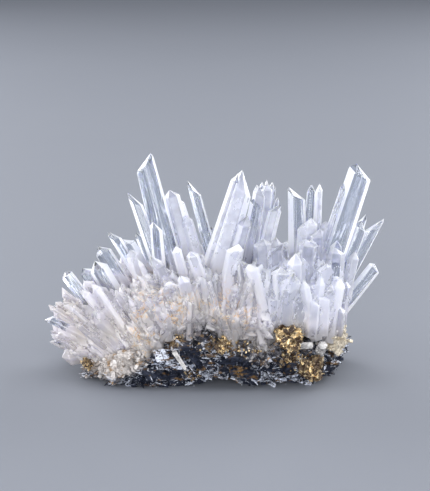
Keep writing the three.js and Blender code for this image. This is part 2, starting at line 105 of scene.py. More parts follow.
# infront is the share of the stubs that stand in front, and outwards how far they lean that way.
STUBS = {
    "count": 22, "infront": 0.8, "centre": (-3.5, 0), "half": (26, 11.8), "width": (3.4, 5.2),
    "length": (8, 11.5), "rows": (0, 5), "lowest": 6, "inset": 0.86, "outwards": 0.42,
}
VIEW_SLOPE = 0.287  # how much higher a place must be to show as high as one that is a millimetre nearer
FRONT = -5  # the crystals that stand before this are part of the mass
TOWARDS_FRONT = math.radians(16)  # the front is looked at from a little above


class Needle(NamedTuple):
    """One crystal, whose end faces slope up to a point.

    roll 0 turns a face to the front and 30 an edge. The point lies aside and behind the axis by shares of
    half the width. clear is the share of the length, from the tip down, that can be seen through.
    """

    foot: tuple
    tip: tuple
    width: float
    roll: float = 0
    slope: float = 1.3
    aside: float = 0
    taper: float = 0.86
    clear: float = 0
    behind: float = 0


def needles_from(*rows):
    return [Needle(row[:3], row[3:6], *row[6:]) for row in rows]


# The rows: x, y, z of the foot, x, y, z of the tip, width, roll, slope, aside, taper, clear, behind.
NEEDLES = needles_from(
    (-28.6, -7, 9, -40.3, -6, 14.6, 3.1, 30, 0.9, -0.7, 0.7, 0.45),
    (-31, -3, 7.5, -38.8, -4.5, 8.6, 2.2, 10, 2.2, 0, 0.7, 0.5),
    (-26, -3, 7, -36.6, -4.5, 4.6, 5.6, 25, 0.7),
    (-30, -2, 10.5, -38.6, -2, 16.8, 2.4, 0, 1.8, 0, 0.6, 0.7),
    (-28.5, 0, 11, -36.6, 0.5, 17.3, 2.6, 20, 1.6, 0, 0.7, 0.7),
    (-22.6, -9.5, 10.3, -35.1, -6, 26.4, 3.4, 30, 0.55, 0.1, 0.92, 0.55),
    (-21, -10, 10.5, -31, -9, 23, 2.6, 10, 1.5),
    (-19.5, -10.5, 11.5, -28.5, -9, 24.4, 2.4, 25, 1.4),
    (-22.4, -2, 12, -31.2, -1, 22.6, 3.8, 10, 0.8),
    (-24, 2, 14, -31.7, 2, 24.8, 4.4, 15, 0.8, -0.3, 0.86, 0.3),
    (-21.5, 0, 14, -28.7, 1, 27, 5.2, 0, 0.9, 0, 0.86, 0.6),
    (-19.5, 3, 16, -28, 4, 29.7, 4.6, 30, 0.9, -0.2, 0.86, 0.5),
    (-14.5, 2, 15, -25.5, 3, 33.6, 3.6, 20, 1.5, -0.55, 0.72, 0.45),
    (-15.3, 0, 16, -20.2, 2, 29.6, 4.2, 15, 0.9),
    (-13.2, 4, 16.2, -22.9, 6, 31, 5.2, 0, 0.8, -0.3, 0.86, 0.5),
    (-11.3, 2, 15.5, -20.7, 5, 42.7, 4.1, 8, 1.7, -0.75, 0.66, 0.68),
    (-13.8, 5, 18, -18.9, 6, 32.6, 2.6, 12, 1.3, -0.5, 0.86, 0.8),
    (-12.8, -3, 15, -14.6, -1, 37.2, 3.5, 0, 1.1, -0.35, 0.86, 0.35),
    (-6, 1, 15.2, -15.2, 4, 52.6, 7.6, 30, 0.8, 0.7, 0.66, 0.66),
    (-4, 4, 16.2, -10.9, 7, 42.9, 5.4, 10, 0.8, -0.1, 0.68),
    (-1.5, 3, 17, -7.2, 5.5, 37, 4, 20, 0.9),
    (-2, 6, 18, -9.2, 8, 40.8, 3.2, 0, 1.2),
    (1, 4, 16.2, -6.7, 8, 45.1, 3.7, 25, 1.9, -0.72, 0.72, 0.8),
    (0.7, 6, 20, -0.9, 8.5, 33.4, 2.8, 30, 1, 0, 0.86, 0.8),
    (-4.6, -5, 15, -9.2, -5, 32.4, 2.8, 0, 1),
    (-2.9, -2, 16, 6.4, 0, 49.5, 6.4, 50, 1.6, -0.45, 0.78, 0.08),
    (-5, -1, 16.5, 5.3, -0.8, 48.6, 3.4, 0, 1.4, -0.2, 0.8),
    (1.5, -3.5, 16, 7.6, -2, 39, 4.6, 20, 1.2, 0.1),
    (4.4, 0, 16, 9.5, 3, 42, 4, 10, 0.9, -0.3, 0.86, 0.3),
    (6.6, 1, 15.9, 10.4, 4, 44.6, 4.4, 0, 1, -0.3, 0.82),
    (9.4, 2, 15.9, 12.4, 4.6, 45, 4.6, 12, 0.7, 0.1, 0.8),
    (10.4, 3, 15.9, 14.3, 6, 44.2, 3.4, 24, 1.2, 0.55, 0.85, 0.12),
    (9.3, 0, 15.5, 15.4, 3, 40.4, 3.6, 0, 0.9, 0.75, 0.8, 0.15),
    (12.7, -1, 14, 14.4, 0.6, 33, 5.8, 8, 0.9, 0.2, 0.85),
    (15.6, 1, 16, 15.8, 2, 31.2, 4.4, 20, 0.8),
    (18.5, 2, 16, 17.5, 5, 44.2, 5.4, 8, 0.85, -0.9, 0.78, 0.34),
    (21.6, 3, 16.6, 23, 6, 44.7, 3, 20, 1.8, 0, 0.74, 0.42),
    (24, 2, 16.9, 24.8, 4, 45.2, 2.4, 5, 2, 0.1, 0.7),
    (21.7, -1, 15, 22.8, 1, 37.6, 5.6, 20, 0.8, 0.3),
    (24, 1, 16, 26.4, 3, 36.3, 3.8, 25, 0.9),
    (22.6, 1.5, 15, 33.6, 5, 49.7, 7, 0, 0.62, -0.5, 0.85, 0.72, 0.1),
    (21.1, 0, 15.5, 30.6, 4, 45.3, 3.4, 20, 1.2, -0.5, 0.7, 0.3),
    (26.7, 1, 14, 35, 4.5, 36, 4.2, 5, 1.2, -0.3, 0.75, 0.6),
    (29.2, 3, 13, 36.2, 6, 37.2, 2.8, 25, 1.8, 0.4, 0.72, 0.5),
    (29.4, 4, 15.2, 40.6, 7, 35.8, 4.2, 10, 1.8, 0.8, 0.72, 0.75),
    (28, 0, 13, 38.2, 2, 26, 3.6, 0, 0.5, -0.3, 0.92, 0.7),
    (27, -2, 14, 28.9, 0, 32.4, 3.6, 10, 1, 0, 0.86, 0.3),
    (27.2, -7.5, 13.2, 28.2, -6.5, 29.9, 3.2, 28, 1.2, 0, 0.86, 0.3),
    (24.4, -7.5, 14.2, 25.2, -6.5, 29.6, 3.2, 5, 1.4),
    (29.4, -2, 12, 33.2, -1, 30, 3, 15),
    (26.9, -9, 11.4, 29.2, -8.5, 25.6, 3.2, 0, 1.4),
    (23.6, -10.5, 12.4, 20.4, -11, 26, 3, 20, 1.5),
    (23.4, -10, 12.4, 24.6, -10, 26.9, 2.8, 30, 1.8),
    (18.6, -8, 14.7, 18.7, -8, 31.6, 4.2, 12, 1.2),
    (15.5, -9.5, 11.4, 15.2, -10.5, 28.8, 6.2, 5, 0.6, -0.1, 0.9, 0, -0.4),
    (12, -9, 14.6, 7.7, -10.5, 29.7, 3.8, 10, 0.8, -0.3),
    (2, -7.5, 15.6, 5.5, -7, 33.5, 4.2, 0, 0.8, 0.3, 0.95),
    (0.4, -7, 14, -5.8, -9.5, 32.4, 3.2, 5, 0.7, -0.2),
    (-5.2, -8.6, 21.2, -11.4, -12.5, 25.4, 2.2, 25, 0.6),
    (-24, 7, 11, -32, 10.5, 19.5, 4.6, 20, 0.9),
    (-17, 8.5, 13, -23, 12.5, 25, 4.6, 5, 1.1),
    (-6, 9, 16, -8, 14, 31, 4.8, 15, 0.9),
    (5, 9, 16, 7, 14, 30, 4.6, 0, 1.2),
    (14, 8.5, 15, 19, 13.5, 29, 4.8, 25, 0.8),
    (22, 7, 14, 29, 11.5, 26, 4.2, 10, 1.2),
)
# Prisms that stand side by side in the right of the front, as part of the mass.
WALL_PRISMS = needles_from(
    (17.4, -9.8, 13.8, 17.8, -10.4, 27.4, 3.8, 0, 0.5, 0.5),
    (21.8, -10.6, 13.4, 22.6, -11, 21.6, 4.2, 0, 0.6, -0.4),
    (25.3, -8.6, 13.6, 26, -8.6, 29.2, 3.6, 0, 0.7, 0.3),
    (20.6, -5.5, 14, 21.2, -5.5, 34.2, 4.8, 0, 0.5, -0.3),
    (12, -6.5, 14, 11.2, -6.5, 34.6, 4.6, 0, 0.6, 0.2),
    (16, -6, 14, 15.8, -6, 33.2, 4.8, 0, 0.5, 0.6),
    (27, -5.5, 12, 28, -5.5, 32.2, 4.2, 0, 0.6, -0.2),
    (24.2, -3, 14, 24.8, -3, 36, 4.6, 0, 0.7, 0.4),
    (29.4, -6, 13, 30.8, -5.6, 24, 3.4, 0, 0.8, 0.2),
    (28.1, -8.6, 13.2, 28.6, -9, 19.4, 3.6, 0, 0.7, -0.3),
    (13.4, -10, 13, 13, -10.6, 22, 3.4, 0, 0.6, -0.3),
    (19.8, -9.2, 13.6, 20.2, -9.4, 25.2, 4.6, 8, 0.6, 0.3),
    (23.6, -9.3, 13.6, 24, -9.6, 22.8, 4.6, 14, 0.5, -0.5),
    (26.6, -9, 13, 27, -9.2, 24.4, 4.2, 4, 0.8, 0.2),
    (14.4, -8.2, 13.4, 14, -8.4, 28, 4.4, 10, 0.6, -0.4),
    (11.2, -9, 14.4, 10.2, -9.4, 22.6, 4, 5, 0.8, 0.3),
    (8.6, -8.6, 15.4, 7.2, -9, 24, 4, 16, 0.7, -0.3),
)
# Thin points on the tops of the tall milky crystals and at the left end.
SLIVERS = needles_from(
    (9.2, 4.6, 38, 10, 4.6, 44.8, 1.5, 0, 2.2, 0, 0.6, 0.4),
    (10.6, 4.4, 39, 11.2, 4.2, 45.6, 1.7, 0, 2, 0, 0.6, 0.4),
    (11.6, 4.6, 39, 12.3, 4.4, 46, 1.4, 0, 2.4, 0, 0.6),
    (12.8, 5, 38, 13.6, 4.8, 45.4, 1.7, 0, 2, 0, 0.6, 0.4),
    (13.4, 3.5, 33, 15.3, 3.2, 39.8, 2, 0, 1.6, 0, 0.6),
    (13.2, 3.8, 35, 14.9, 3.4, 42, 1.6, 0, 1.8, 0, 0.6),
    (3.3, -0.6, 38, 2.8, -0.6, 43, 0.9, 0, 2.4, 0, 0.6),
    (4.3, -1.4, 42, 5.3, -1.3, 49, 1.8, 0, 2.4, 0, 0.6),
    (6.6, 1, 39.5, 7.4, 1, 45.4, 1.2, 0, 2.4, 0, 0.6, 0.3),
    (-33.5, -2, 13.6, -37, -2.4, 17, 1.1, 0, 2.4, 0, 0.6, 0.5),
    (-32.6, -1, 15, -35, -1.4, 18.2, 1.1, 0, 2.4, 0, 0.6, 0.5),
)
KNOB = Needle((10.6, -9.5, 14.5), (11.9, -14.2, 9.4), 5.4, roll=20, slope=0.5, taper=0.75)

# ---- Sizes that only the looks have ----

# How far a crystal's foot goes into what it grows from.
BURY = {"needle": 5, "front": 1.2, "point": 4, "stub": 2.5, "small": 1.6}
EDGE = (0.035, 0.12)  # the worn edge of a crystal, as a share of its width, and the least that it can be
LOOSE_EDGE = 0.12


class Kind(NamedTuple):
    """A kind of crystal that is too small for the solids and grows all over the druse, or in a box of it."""

    seed: int
    count: int
    width: tuple
    length: tuple
    scattered: float  # how far the directions differ from the fan's
    sink: float  # how deep it lies in the druse, as a share of its width
    hug: float = 0  # 0 keeps it close to a steep front, 1 lets it stand out
    fan: tuple = (0.5, 0.55)
    roll: tuple = (0, 60)
    box: tuple = ()
    band: tuple = (-0.5, 50)  # how far above the rock it grows
    on_wall: bool = False


WALL = ((12, 34), (-20, -4), (13, 40))  # kinds without a box grow here only where on_wall says so
UNDERSIDE = -0.7  # a normal that is lower faces down, and nothing grows there
COLUMNS_BOX = ((12, 31), (-20, -2), (10, 18))
SPINES_BOX = ((-34, -15), (-20, -2), (5, 18))
SMALL_KINDS = {
    "prisms": Kind(83, 240, (1.6, 3.5), (6, 12), 0.16, 0.42, 0.02),
    "chips": Kind(61, 280, (1.1, 2.6), (2.5, 5.5), 0.7, 0.3, 0.3),
    "shards": Kind(37, 240, (1.3, 3.0), (4, 8), 1.2, 0.2, 0.1, box=((-16, 13), (-20, -3), (8, 27))),
    "rubble": Kind(47, 190, (1.3, 2.9), (2.2, 4.5), 2.0, 0.25, 0.5, band=(-1.2, 3.4), on_wall=True),
    "columns": Kind(71, 40, (2.6, 4.8), (8, 15), 0.05, 0.3, 0, (0.3, 0.15), (-12, 12), COLUMNS_BOX),
    "spines": Kind(73, 110, (1.1, 2.6), (9, 16), 0.09, 0.25, 0, (0.6, 0.5), box=SPINES_BOX),
}
# How far inside the solids' box the small forms end.
ROOM = {"tip": 0.4, "mass": 0.05, "block": 0.1, "sole": 0.02, "growth": 0.3}
GRAIN = 0.5  # the fine relief of the druse
# How high the rock's grime reaches on the quartz.
GRIME_TOP = (
    (-32, 0), (-24, 1), (-18, 4), (-13, 10.5), (-6, 15.5), (1, 15.5), (8, 14), (12, 12.5), (31, 11.5),
)
# How the small crystals have grown into one mass: the gaps filled, and how far below their edges it ends.
FUSED = {"voxel": 0.4, "fill": 1.3, "steps": 4, "below": 0.32}
# The facets of that mass: cells in a fan that spreads from the focus, each with its tilts and its step.
FACETS = {
    "cells": 1500, "focus": (4, -18), "across": 60, "along": 0.25,
    "tilt": (0.4, 0.08), "step": 0.16, "reach": (-0.6, 0.25), "frost_and_highlight": (0.05, 0.45),
}
# A stub is shown as thin crystals side by side. Widths, lengths and offsets are shares of the stub's.
BUNDLE = {"count": 7, "width": (0.26, 0.46), "length": (0.5, 0.95), "across": 0.38, "splay": 0.12, "hug": 0.5}
HEAP = {"count": 14, "width": (0.3, 0.5), "length": (0.25, 0.5), "across": 0.42, "splay": 0.5, "hug": 1.0}
# How white a crystal's worn edges, plain faces and faces turned to the sides are; edges and sides get painted
# highlights.
CLEAR_FROST_AND_HIGHLIGHT = {"edge": 1.0, "plain": (0.0, 0.16), "side_highlight": (0.6, 0.95)}
MILKY = {"edge": 1.0, "plain": (0.25, 0.45), "side_highlight": (0.5, 0.75)}
DULL = {"edge": 0.85, "plain": (0.05, 0.3), "side_highlight": (0.25, 0.5)}
SIDE_HIGHLIGHT_FROM = 46  # how far in degrees a face with a painted side highlight is turned from the front or the back
CLEAR = 0.2  # with a greater clear share than this a crystal gets the frost and painted highlights of a clear one
# What lies on the rock: lift is how far out, tilt how far it turns from the surface, form its three shares.
# It lies above a height, where the surface doesn't face further down than facing.
CRUMBS = {
    "count": 3400, "size": (0.2, 0.9), "form": (1.4, 0.9, 0.7), "band": (-4.5, 2.0), "lift": 0.2, "tilt": 0.8,
}
GRAINS = {"size": (0.2, 0.7), "form": (1, 1, 0.7), "lift": 0.15, "tilt": 0.6}
FIBRES = {
    "count": 6000, "length": (0.6, 2.4), "width": (0.07, 0.15), "thick": (0.05, 0.1),
    "lift": 0.15, "tilt": 0.3, "above": 0.4, "facing": -0.8,
}
FLAKES = {
    "count": 5200, "length": (0.8, 3.4), "width": (0.3, 1.2), "thick": (0.07, 0.22),
    "lift": 0.12, "tilt": 0.16, "above": 0.35, "facing": -0.75,
    "bare": 0.22, "scale": (0.5, 1.15), "spread": 0.6,
}
LAYERS = (0.12, -0.2, 1.0)  # the way across the rock's layers
# The facets that the rock is broken into, coarse and fine.
FRACTURE = {"cells": 900, "tilt": 0.55, "step": 0.5, "reach": (-1.6, 0.5)}
SPLINTERING = {"cells": 7000, "tilt": 0.75, "step": 0.2, "reach": (-0.5, 0.3)}
DUST_DEPTH = 4.5  # how far below the quartz the rock is dusty
BEND_PARTS = (Vector((0, 0, 0)), Vector((31, 7, 3)), Vector((5, 43, 17)))  # one noise for each direction
# How a solid is remeshed and roughened: its voxels, the depth and scale of the noise, how far it stands out.
ROUGH_ROCK = (0.28, 1.0, 0.3, 0.12)
ROUGH_PYRITE = (0.22, 0.5, 0.9, 0.1)
# What would cover a crystal in the front: from which share of it up, how far aside and how far out.
COVER = {"from": 0.25, "aside": 0.6, "allowed": 0.1, "most": 8}
# The pyrite: how many blocks grow on each, their size, and the share of the flat plates.
PYRITE_GROWTH = {
    "pyrite_block_right": (230, (0.35, 1.3), 0.25),
    "pyrite_crust_right": (440, (0.2, 0.8), 0.1),
    "pyrite_crust_centre": (360, (0.15, 0.6), 0.0),
    "pyrite_crust_low": (330, (0.2, 0.95), 0.05),
    "pyrite_knob_left": (180, (0.15, 0.5), 0.0),
}
PYRITE_FORM = (1.2, 1.0, 0.6)
PYRITE_TILT = 0.5
CORE_SHADE = 0.15
# Flat plates on the top and front of the pyrite.
PLATES = {"way": (0, -0.6, 0.8), "low": (1.2, 0.8, 0.12), "high": (3.4, 2.2, 0.3)}
GOLD_FAR = 2.2  # the square of how many reaches a grain can lie from its patch's middle
# Where gold-coloured grains lie on the rock: the middle, the reach and how many.
GOLD_PATCHES = (
    ((-10.9, -12.5, 12.3), (2.6, 2.0, 1.8), 110),
    ((-0.7, -14.0, 10.6), (2.6, 2.0, 1.4), 90),
    ((2.8, -13.5, 11.0), (2.4, 2.0, 1.9), 150),
    ((8.2, -13.5, 10.0), (2.2, 2.0, 1.3), 60),
    ((18.6, -14.5, 7.3), (3.2, 2.4, 2.2), 190),
    ((23.9, -13.0, 4.2), (3.2, 2.4, 2.4), 170),
    ((-4.4, -15.0, 3.6), (2.2, 1.6, 1.2), 40),
    ((-27.5, -10.0, 2.4), (3.0, 2.0, 1.0), 50),
    ((10.0, 14.0, 9.0), (8.0, 2.5, 2.6), 90),
    ((-14.0, 13.0, 8.0), (6.0, 2.5, 2.2), 70),
    ((29.0, 4.0, 8.5), (2.0, 6.0, 2.0), 60),
)

PRISM_SIDES = 6
BLOCK_SIDES = 6
GOLDEN_ANGLE = math.pi * (3 - math.sqrt(5))
MASK = 0xFFFFFFFF


# ---- Numbers ----


def random_from(seed):
    """Seeded numbers between two ends, from the same series that shapes the solids."""
    state = seed & MASK

    def draw(low=0.0, high=1.0):
        nonlocal state
        state = (state + 0x6D2B79F5) & MASK
        t = ((state ^ (state >> 15)) * (state | 1)) & MASK
        t ^= (t + ((t ^ (t >> 7)) * (t | 61))) & MASK
        return low + (high - low) * (((t ^ (t >> 14)) & MASK) / (MASK + 1))

    return draw


def height_at(profile, x):
    return np.interp(x, *zip(*profile))


def scatter(random):
    """A direction with no favourite way."""
    level = random(-1, 1)
    turn = random(0, 2 * math.pi)
    ring = math.sqrt(1 - level * level)
    return Vector((ring * math.cos(turn), ring * math.sin(turn), level))


def fan_lean(x, y, depth=POINTS["spread"][1], lean=FAN["lean"]):
    """Which way a crystal at x, y leans, away from the middle of the cluster."""
    away = (x - FAN["x"]) / FAN["reach"]
    low, high = lean
    return Vector((away * (low + high * away * away), FAN["forwards"] * y / depth, 1))


# ---- Meshes ----


def new_object(name, data):
    thing = bpy.data.objects.new(name, data)
    bpy.context.scene.collection.objects.link(thing)
    return thing


def mesh_object(name, vertices, faces, values=None):
    """An object from vertices in millimetres. values holds numbers or vectors that each face keeps."""
    mesh = bpy.data.meshes.new(name)
    mesh.from_pydata((np.asarray(vertices, float) * MM).tolist(), [], [list(face) for face in faces])
    mesh.update()
    return with_values(new_object(name, mesh), values or {})


def remove(thing):
    mesh = thing.data
    bpy.data.objects.remove(thing)
    bpy.data.meshes.remove(mesh)


def finished_mesh(thing):
    """Applies the object's modifiers."""
    shown = thing.evaluated_get(bpy.context.evaluated_depsgraph_get())
    mesh = bpy.data.meshes.new_from_object(shown)
    thing.modifiers.clear()
    old = thing.data
    thing.data = mesh
    bpy.data.meshes.remove(old)


def remeshed(thing, voxel):
    remesh = thing.modifiers.new("fine", "REMESH")
    remesh.mode = "VOXEL"
    remesh.voxel_size = voxel * MM
    finished_mesh(thing)


def corners_of(thing):
    places = np.empty(len(thing.data.vertices) * 3, np.float32)
    thing.data.vertices.foreach_get("co", places)
    return places.reshape(-1, 3) / MM


def normals_of(thing):
    return np.array([vertex.normal[:] for vertex in thing.data.vertices])


def face_centres(thing):
    return np.array([face.center[:] for face in thing.data.polygons]) / MM


def box_of(node):
    """The low and the high corner of a solid."""
    return [np.array(corner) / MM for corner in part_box(node)]


def lists_of(body):
    """The vertices and faces of a bmesh."""
    body.verts.index_update()
    return [tuple(v.co) for v in body.verts], [[v.index for v in face.verts] for face in body.faces]


def nearest_of(seeds):
    """A function that finds the nearest seed to each place."""
    tree = KDTree(len(seeds))
    for i, seed in enumerate(seeds):
        tree.insert(seed, i)
    tree.balance()
    return lambda places: np.array([tree.find(place)[1] for place in places])


def place_corners(thing, places):
    thing.data.vertices.foreach_set("co", (places * MM).astype(np.float32).ravel())
    thing.data.update()


def with_values(thing, values):
    """Gives each face its own numbers or vectors, which the material reads by their names."""
    for name, value in values.items():
        value = np.asarray(value, np.float32)
        kind, key = ("FLOAT_VECTOR", "vector") if value.ndim == 2 else ("FLOAT", "value")
        thing.data.attributes.new(name, kind, "FACE").data.foreach_set(key, value.ravel())
    return thing


def dress(thing, slot, material, *nodes):
    """Makes the object a piece of the cluster, in place of those solids."""
    thing.data.materials.clear()
    thing.data.materials.append(material)
    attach(thing, "root")
    if nodes:
        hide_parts(*nodes)


# ---- Crystals ----


def crystal(shape, bury, seed, frost_and_highlight_levels, wear):
    """A six-sided prism whose end faces slope up to its tip, with worn edges."""
    random = random_from(seed * 977 + 13)
    axis = (Vector(shape.tip) - Vector(shape.foot)).normalized()
    front = (Vector((0, -1, 0.001)) + axis * axis.y).normalized()
    side = axis.cross(front).normalized()
    back = axis.cross(side)

    half = shape.width / 2
    point = [share * half * shape.taper for share in (shape.aside, shape.behind)]
    start = Vector(shape.foot) - side * point[0] - back * point[1] - axis * bury
    length = (Vector(shape.tip) - Vector(shape.foot)).length + bury
    turns = [math.radians(shape.roll + 360 / PRISM_SIDES * k) for k in range(PRISM_SIDES)]
    reaches = [half * (1 + wear * random(-1, 1)) for _ in turns]
    ring = [(reach * math.cos(turn), reach * math.sin(turn)) for turn, reach in zip(turns, reaches)]

    body = bmesh.new()
    place = Matrix((side, back, axis)).transposed().to_4x4()
    place.translation = start
    low = [body.verts.new(place @ Vector((x, y, 0))) for x, y in ring]
    high = []
    for x, y in ring:
        run = math.hypot(x * shape.taper - point[0], y * shape.taper - point[1])
        height = max(0.25 * length, length - shape.slope * run - 0.05)
        narrowing = 1 - (1 - shape.taper) * height / length
        high.append(body.verts.new(place @ Vector((x * narrowing, y * narrowing, height))))
    top = body.verts.new(place @ Vector((*point, length)))
    body.faces.new(low[::-1])
    for k in range(PRISM_SIDES):
        after = (k + 1) % PRISM_SIDES
        body.faces.new((low[k], low[after], high[after], high[k]))
        body.faces.new((high[k], high[after], top))
    worn = [edge for edge in body.edges if top not in edge.verts and not set(edge.verts) <= set(low)]
    sides = set(body.faces)
    size = max(EDGE[0] * shape.width, EDGE[1])
    made = bmesh.ops.bevel(body, geom=worn, offset=size, segments=1, affect="EDGES", clamp_overlap=True)
    edges = {face for face in made["faces"] if face not in sides}
    # Painted highlights: the worn edges and the faces turned to the sides are whiter; the plain faces get a
    # random frost.
    frost_and_highlight = body.faces.layers.float.new("frost_and_highlight")
    for face in body.faces:
        turned = math.degrees(math.atan2(abs(face.normal @ side), abs(face.normal @ back)))
        kind = "side_highlight" if turned > SIDE_HIGHLIGHT_FROM else "plain"
        face[frost_and_highlight] = frost_and_highlight_levels["edge"] if face in edges else random(*frost_and_highlight_levels[kind])
    bmesh.ops.triangulate(body, faces=body.faces[:])
    vertices, faces = lists_of(body)
    frosts_and_highlights = [face[frost_and_highlight] for face in body.faces]
    body.free()
    return vertices, faces, frosts_and_highlights


def druse_points():
    """Points that cover the druse evenly."""
    random = random_from(11)
    across, depth = POINTS["astray"]
    points = []
    for i in range(POINTS["count"]):
        ring = math.sqrt((i + 0.5) / POINTS["count"])
        x = POINTS["centre"][0] + POINTS["spread"][0] * ring * math.cos(i * GOLDEN_ANGLE)
        y = POINTS["centre"][1] + POINTS["spread"][1] * ring * math.sin(i * GOLDEN_ANGLE)
        lean = (fan_lean(x, y) + Vector((random(-across, across), random(-depth, depth), 0))).normalized()
        high, low = height_at(DRUSE["top"], x), height_at(DRUSE["sole"], x)
        foot = Vector((x, y, high - 2 - 0.5 * (high - low) * ring**3))
        crest = height_at(POINTS["crest"], x + lean.x * 6) - VIEW_SLOPE * y
        rise = (crest - foot.z) * random(*POINTS["rise"]) * (1 - 0.3 * ring**3)
        tip = foot + lean * max(POINTS["shortest"], rise / max(lean.z, 0.6))
        form = (random(*POINTS["width"]), random(0, 60), random(0.9, 1.9), random(-0.4, 0.4))
        points.append(Needle(foot, tip, *form, clear=0.06, behind=random(-0.4, 0.4)))
    return points


def edge_stubs():
    """Short stubs round the edge of the druse, in a low row and a high one behind it."""
    random = random_from(29)
    stubs = []
    for i in range(STUBS["count"]):
        share = (i + 0.4 * random()) / STUBS["count"]
        front = STUBS["infront"]
        turn = math.pi * (1 + share / front if share < front else (share - front) / (1 - front))
        inset = STUBS["inset"] if i % 2 else 1
        x = STUBS["centre"][0] + STUBS["half"][0] * inset * math.cos(turn)
        y = STUBS["centre"][1] + STUBS["half"][1] * inset * math.sin(turn)
        lean = fan_lean(x, 0) + Vector((random(-0.25, 0.25), 0, 0))
        lean.y = STUBS["outwards"] * math.sin(turn) + random(-0.15, 0.1)
        lean.normalize()
        level = max(STUBS["lowest"], height_at(ROCK_TOP, x)) + STUBS["rows"][i % 2]
        foot = Vector((x, y, level - random(0.5, 2.5)))
        tip = foot + lean * random(*STUBS["length"])
        form = (random(*STUBS["width"]), random(0, 60), random(0.6, 1.3))
        stubs.append(Needle(foot, tip, *form, 0.3, behind=-0.2))
    return stubs


def bundle(shape, kind, seed):
    """Thin crystals side by side in place of a thick one. The first goes all the way to its tip."""
    random = random_from(seed)
    foot, reach = Vector(shape.foot), Vector(shape.tip) - Vector(shape.foot)
    side = reach.cross(Vector((0, 1, 0.2))).normalized()
    other = reach.cross(side).normalized()
    found = []
    for k in range(kind["count"]):
        turn = 2 * math.pi * (k + random()) / (kind["count"] - 1)
        out = kind["across"] * shape.width * (k > 0)
        start = foot + out * (math.cos(turn) * side + math.sin(turn) * other)
        share = random(*kind["length"]) if k else 1
        way = reach * share + (k > 0) * kind["splay"] * reach.length * scatter(random)
        way.y *= kind["hug"] if k else 1
        form = (shape.width * random(*kind["width"]), random(0, 60), random(0.5, 1.6))
        aside, behind, taper = random(-0.6, 0.6), random(-0.6, 0.6), random(0.75, 0.95)
        found.append(Needle(start, start + way, *form, aside, taper, behind=behind))
    return found


def over_front_needles(places, margin=0.0):
    """How far each place stands out over the axis of a crystal in the front that it would cover, or 0."""
    places = np.asarray(places, float)
    turn = np.array([[1, 0, 0], [0, math.sin(TOWARDS_FRONT), math.cos(TOWARDS_FRONT)]])
    out = np.array([0, -math.cos(TOWARDS_FRONT), math.sin(TOWARDS_FRONT)])
    most = np.zeros(len(places))
    for shape in NEEDLES:
        if shape.tip[1] >= FRONT:
            continue
        foot, tip = np.array(shape.foot), np.array(shape.tip)
        start, run = turn @ foot, turn @ (tip - foot)
        share = np.clip(((places @ turn.T - start) @ run) / (run @ run), COVER["from"], 1)
        aside = np.linalg.norm(places @ turn.T - start - share[:, None] * run, axis=1)
        axis = (foot + share[:, None] * (tip - foot)) @ out
        over = places @ out - axis + COVER["allowed"] * shape.width
        near = (aside < COVER["aside"] * shape.width + margin) & (over > 0) & (over < COVER["most"])
        most = np.where(near, np.maximum(most, over), most)
    return most


def druse_slab():
    """The mass that the crystals grow from: a lumpy slab with a squared oval plan."""
    body = bmesh.new()
    bmesh.ops.create_icosphere(body, subdivisions=6, radius=1)
    power = DRUSE["squareness"]
    for vertex in body.verts:
        way = vertex.co.copy()
        reach = sum(abs(c) ** power for c in way) ** (-1 / power)
        x = DRUSE["centre"][0] + DRUSE["half"][0] * way.x * reach
        y = DRUSE["centre"][1] + DRUSE["half"][1] * way.y * reach
        high, low = height_at(DRUSE["top"], x), height_at(DRUSE["sole"], x)
        level = (high + low) / 2 + (high - low) / 2 * way.z * reach
        spot = Vector((x, y, level))
        bump = DRUSE["lump"] * 0.6 * (noise.noise(spot * 0.17) + 0.8 * noise.noise(spot * 0.45)) + 0.3
        bump += GRAIN * (noise.noise(spot * 0.9) + 0.7 * noise.noise(spot * 2.1))
        vertex.co = spot + way * reach * bump
    vertices, faces = lists_of(body)
    body.free()
    vertices = np.array(vertices)
    vertices[:, 1] += over_front_needles(vertices)
    return vertices, faces


def surface_samples(thing, count, seed):
    """Points spread evenly over an object's surface, with the normals there, in millimetres."""
    mesh = thing.data
    mesh.calc_loop_triangles()
    corners = np.array([triangle.vertices[:] for triangle in mesh.loop_triangles])
    a, b, c = (corners_of(thing)[corners[:, k]] for k in range(3))
    cross = np.cross(b - a, c - a)
    area = np.linalg.norm(cross, axis=1)
    draw = np.random.default_rng(seed)
    chosen = draw.choice(len(area), count, p=area / area.sum())
    u, v = draw.random((2, count))
    flip = u + v > 1
    u, v = np.where(flip, 1 - u, u)[:, None], np.where(flip, 1 - v, v)[:, None]
    spots = a[chosen] + u * (b - a)[chosen] + v * (c - a)[chosen]
    return spots, cross[chosen] / area[chosen][:, None]


def inside_box(spot, margin):
    return all(low + margin <= c <= high - margin for c, low, high in zip(spot, LOW, HIGH))


def lies_in(spot, box):
    return all(low < c < high for c, (low, high) in zip(spot, box))


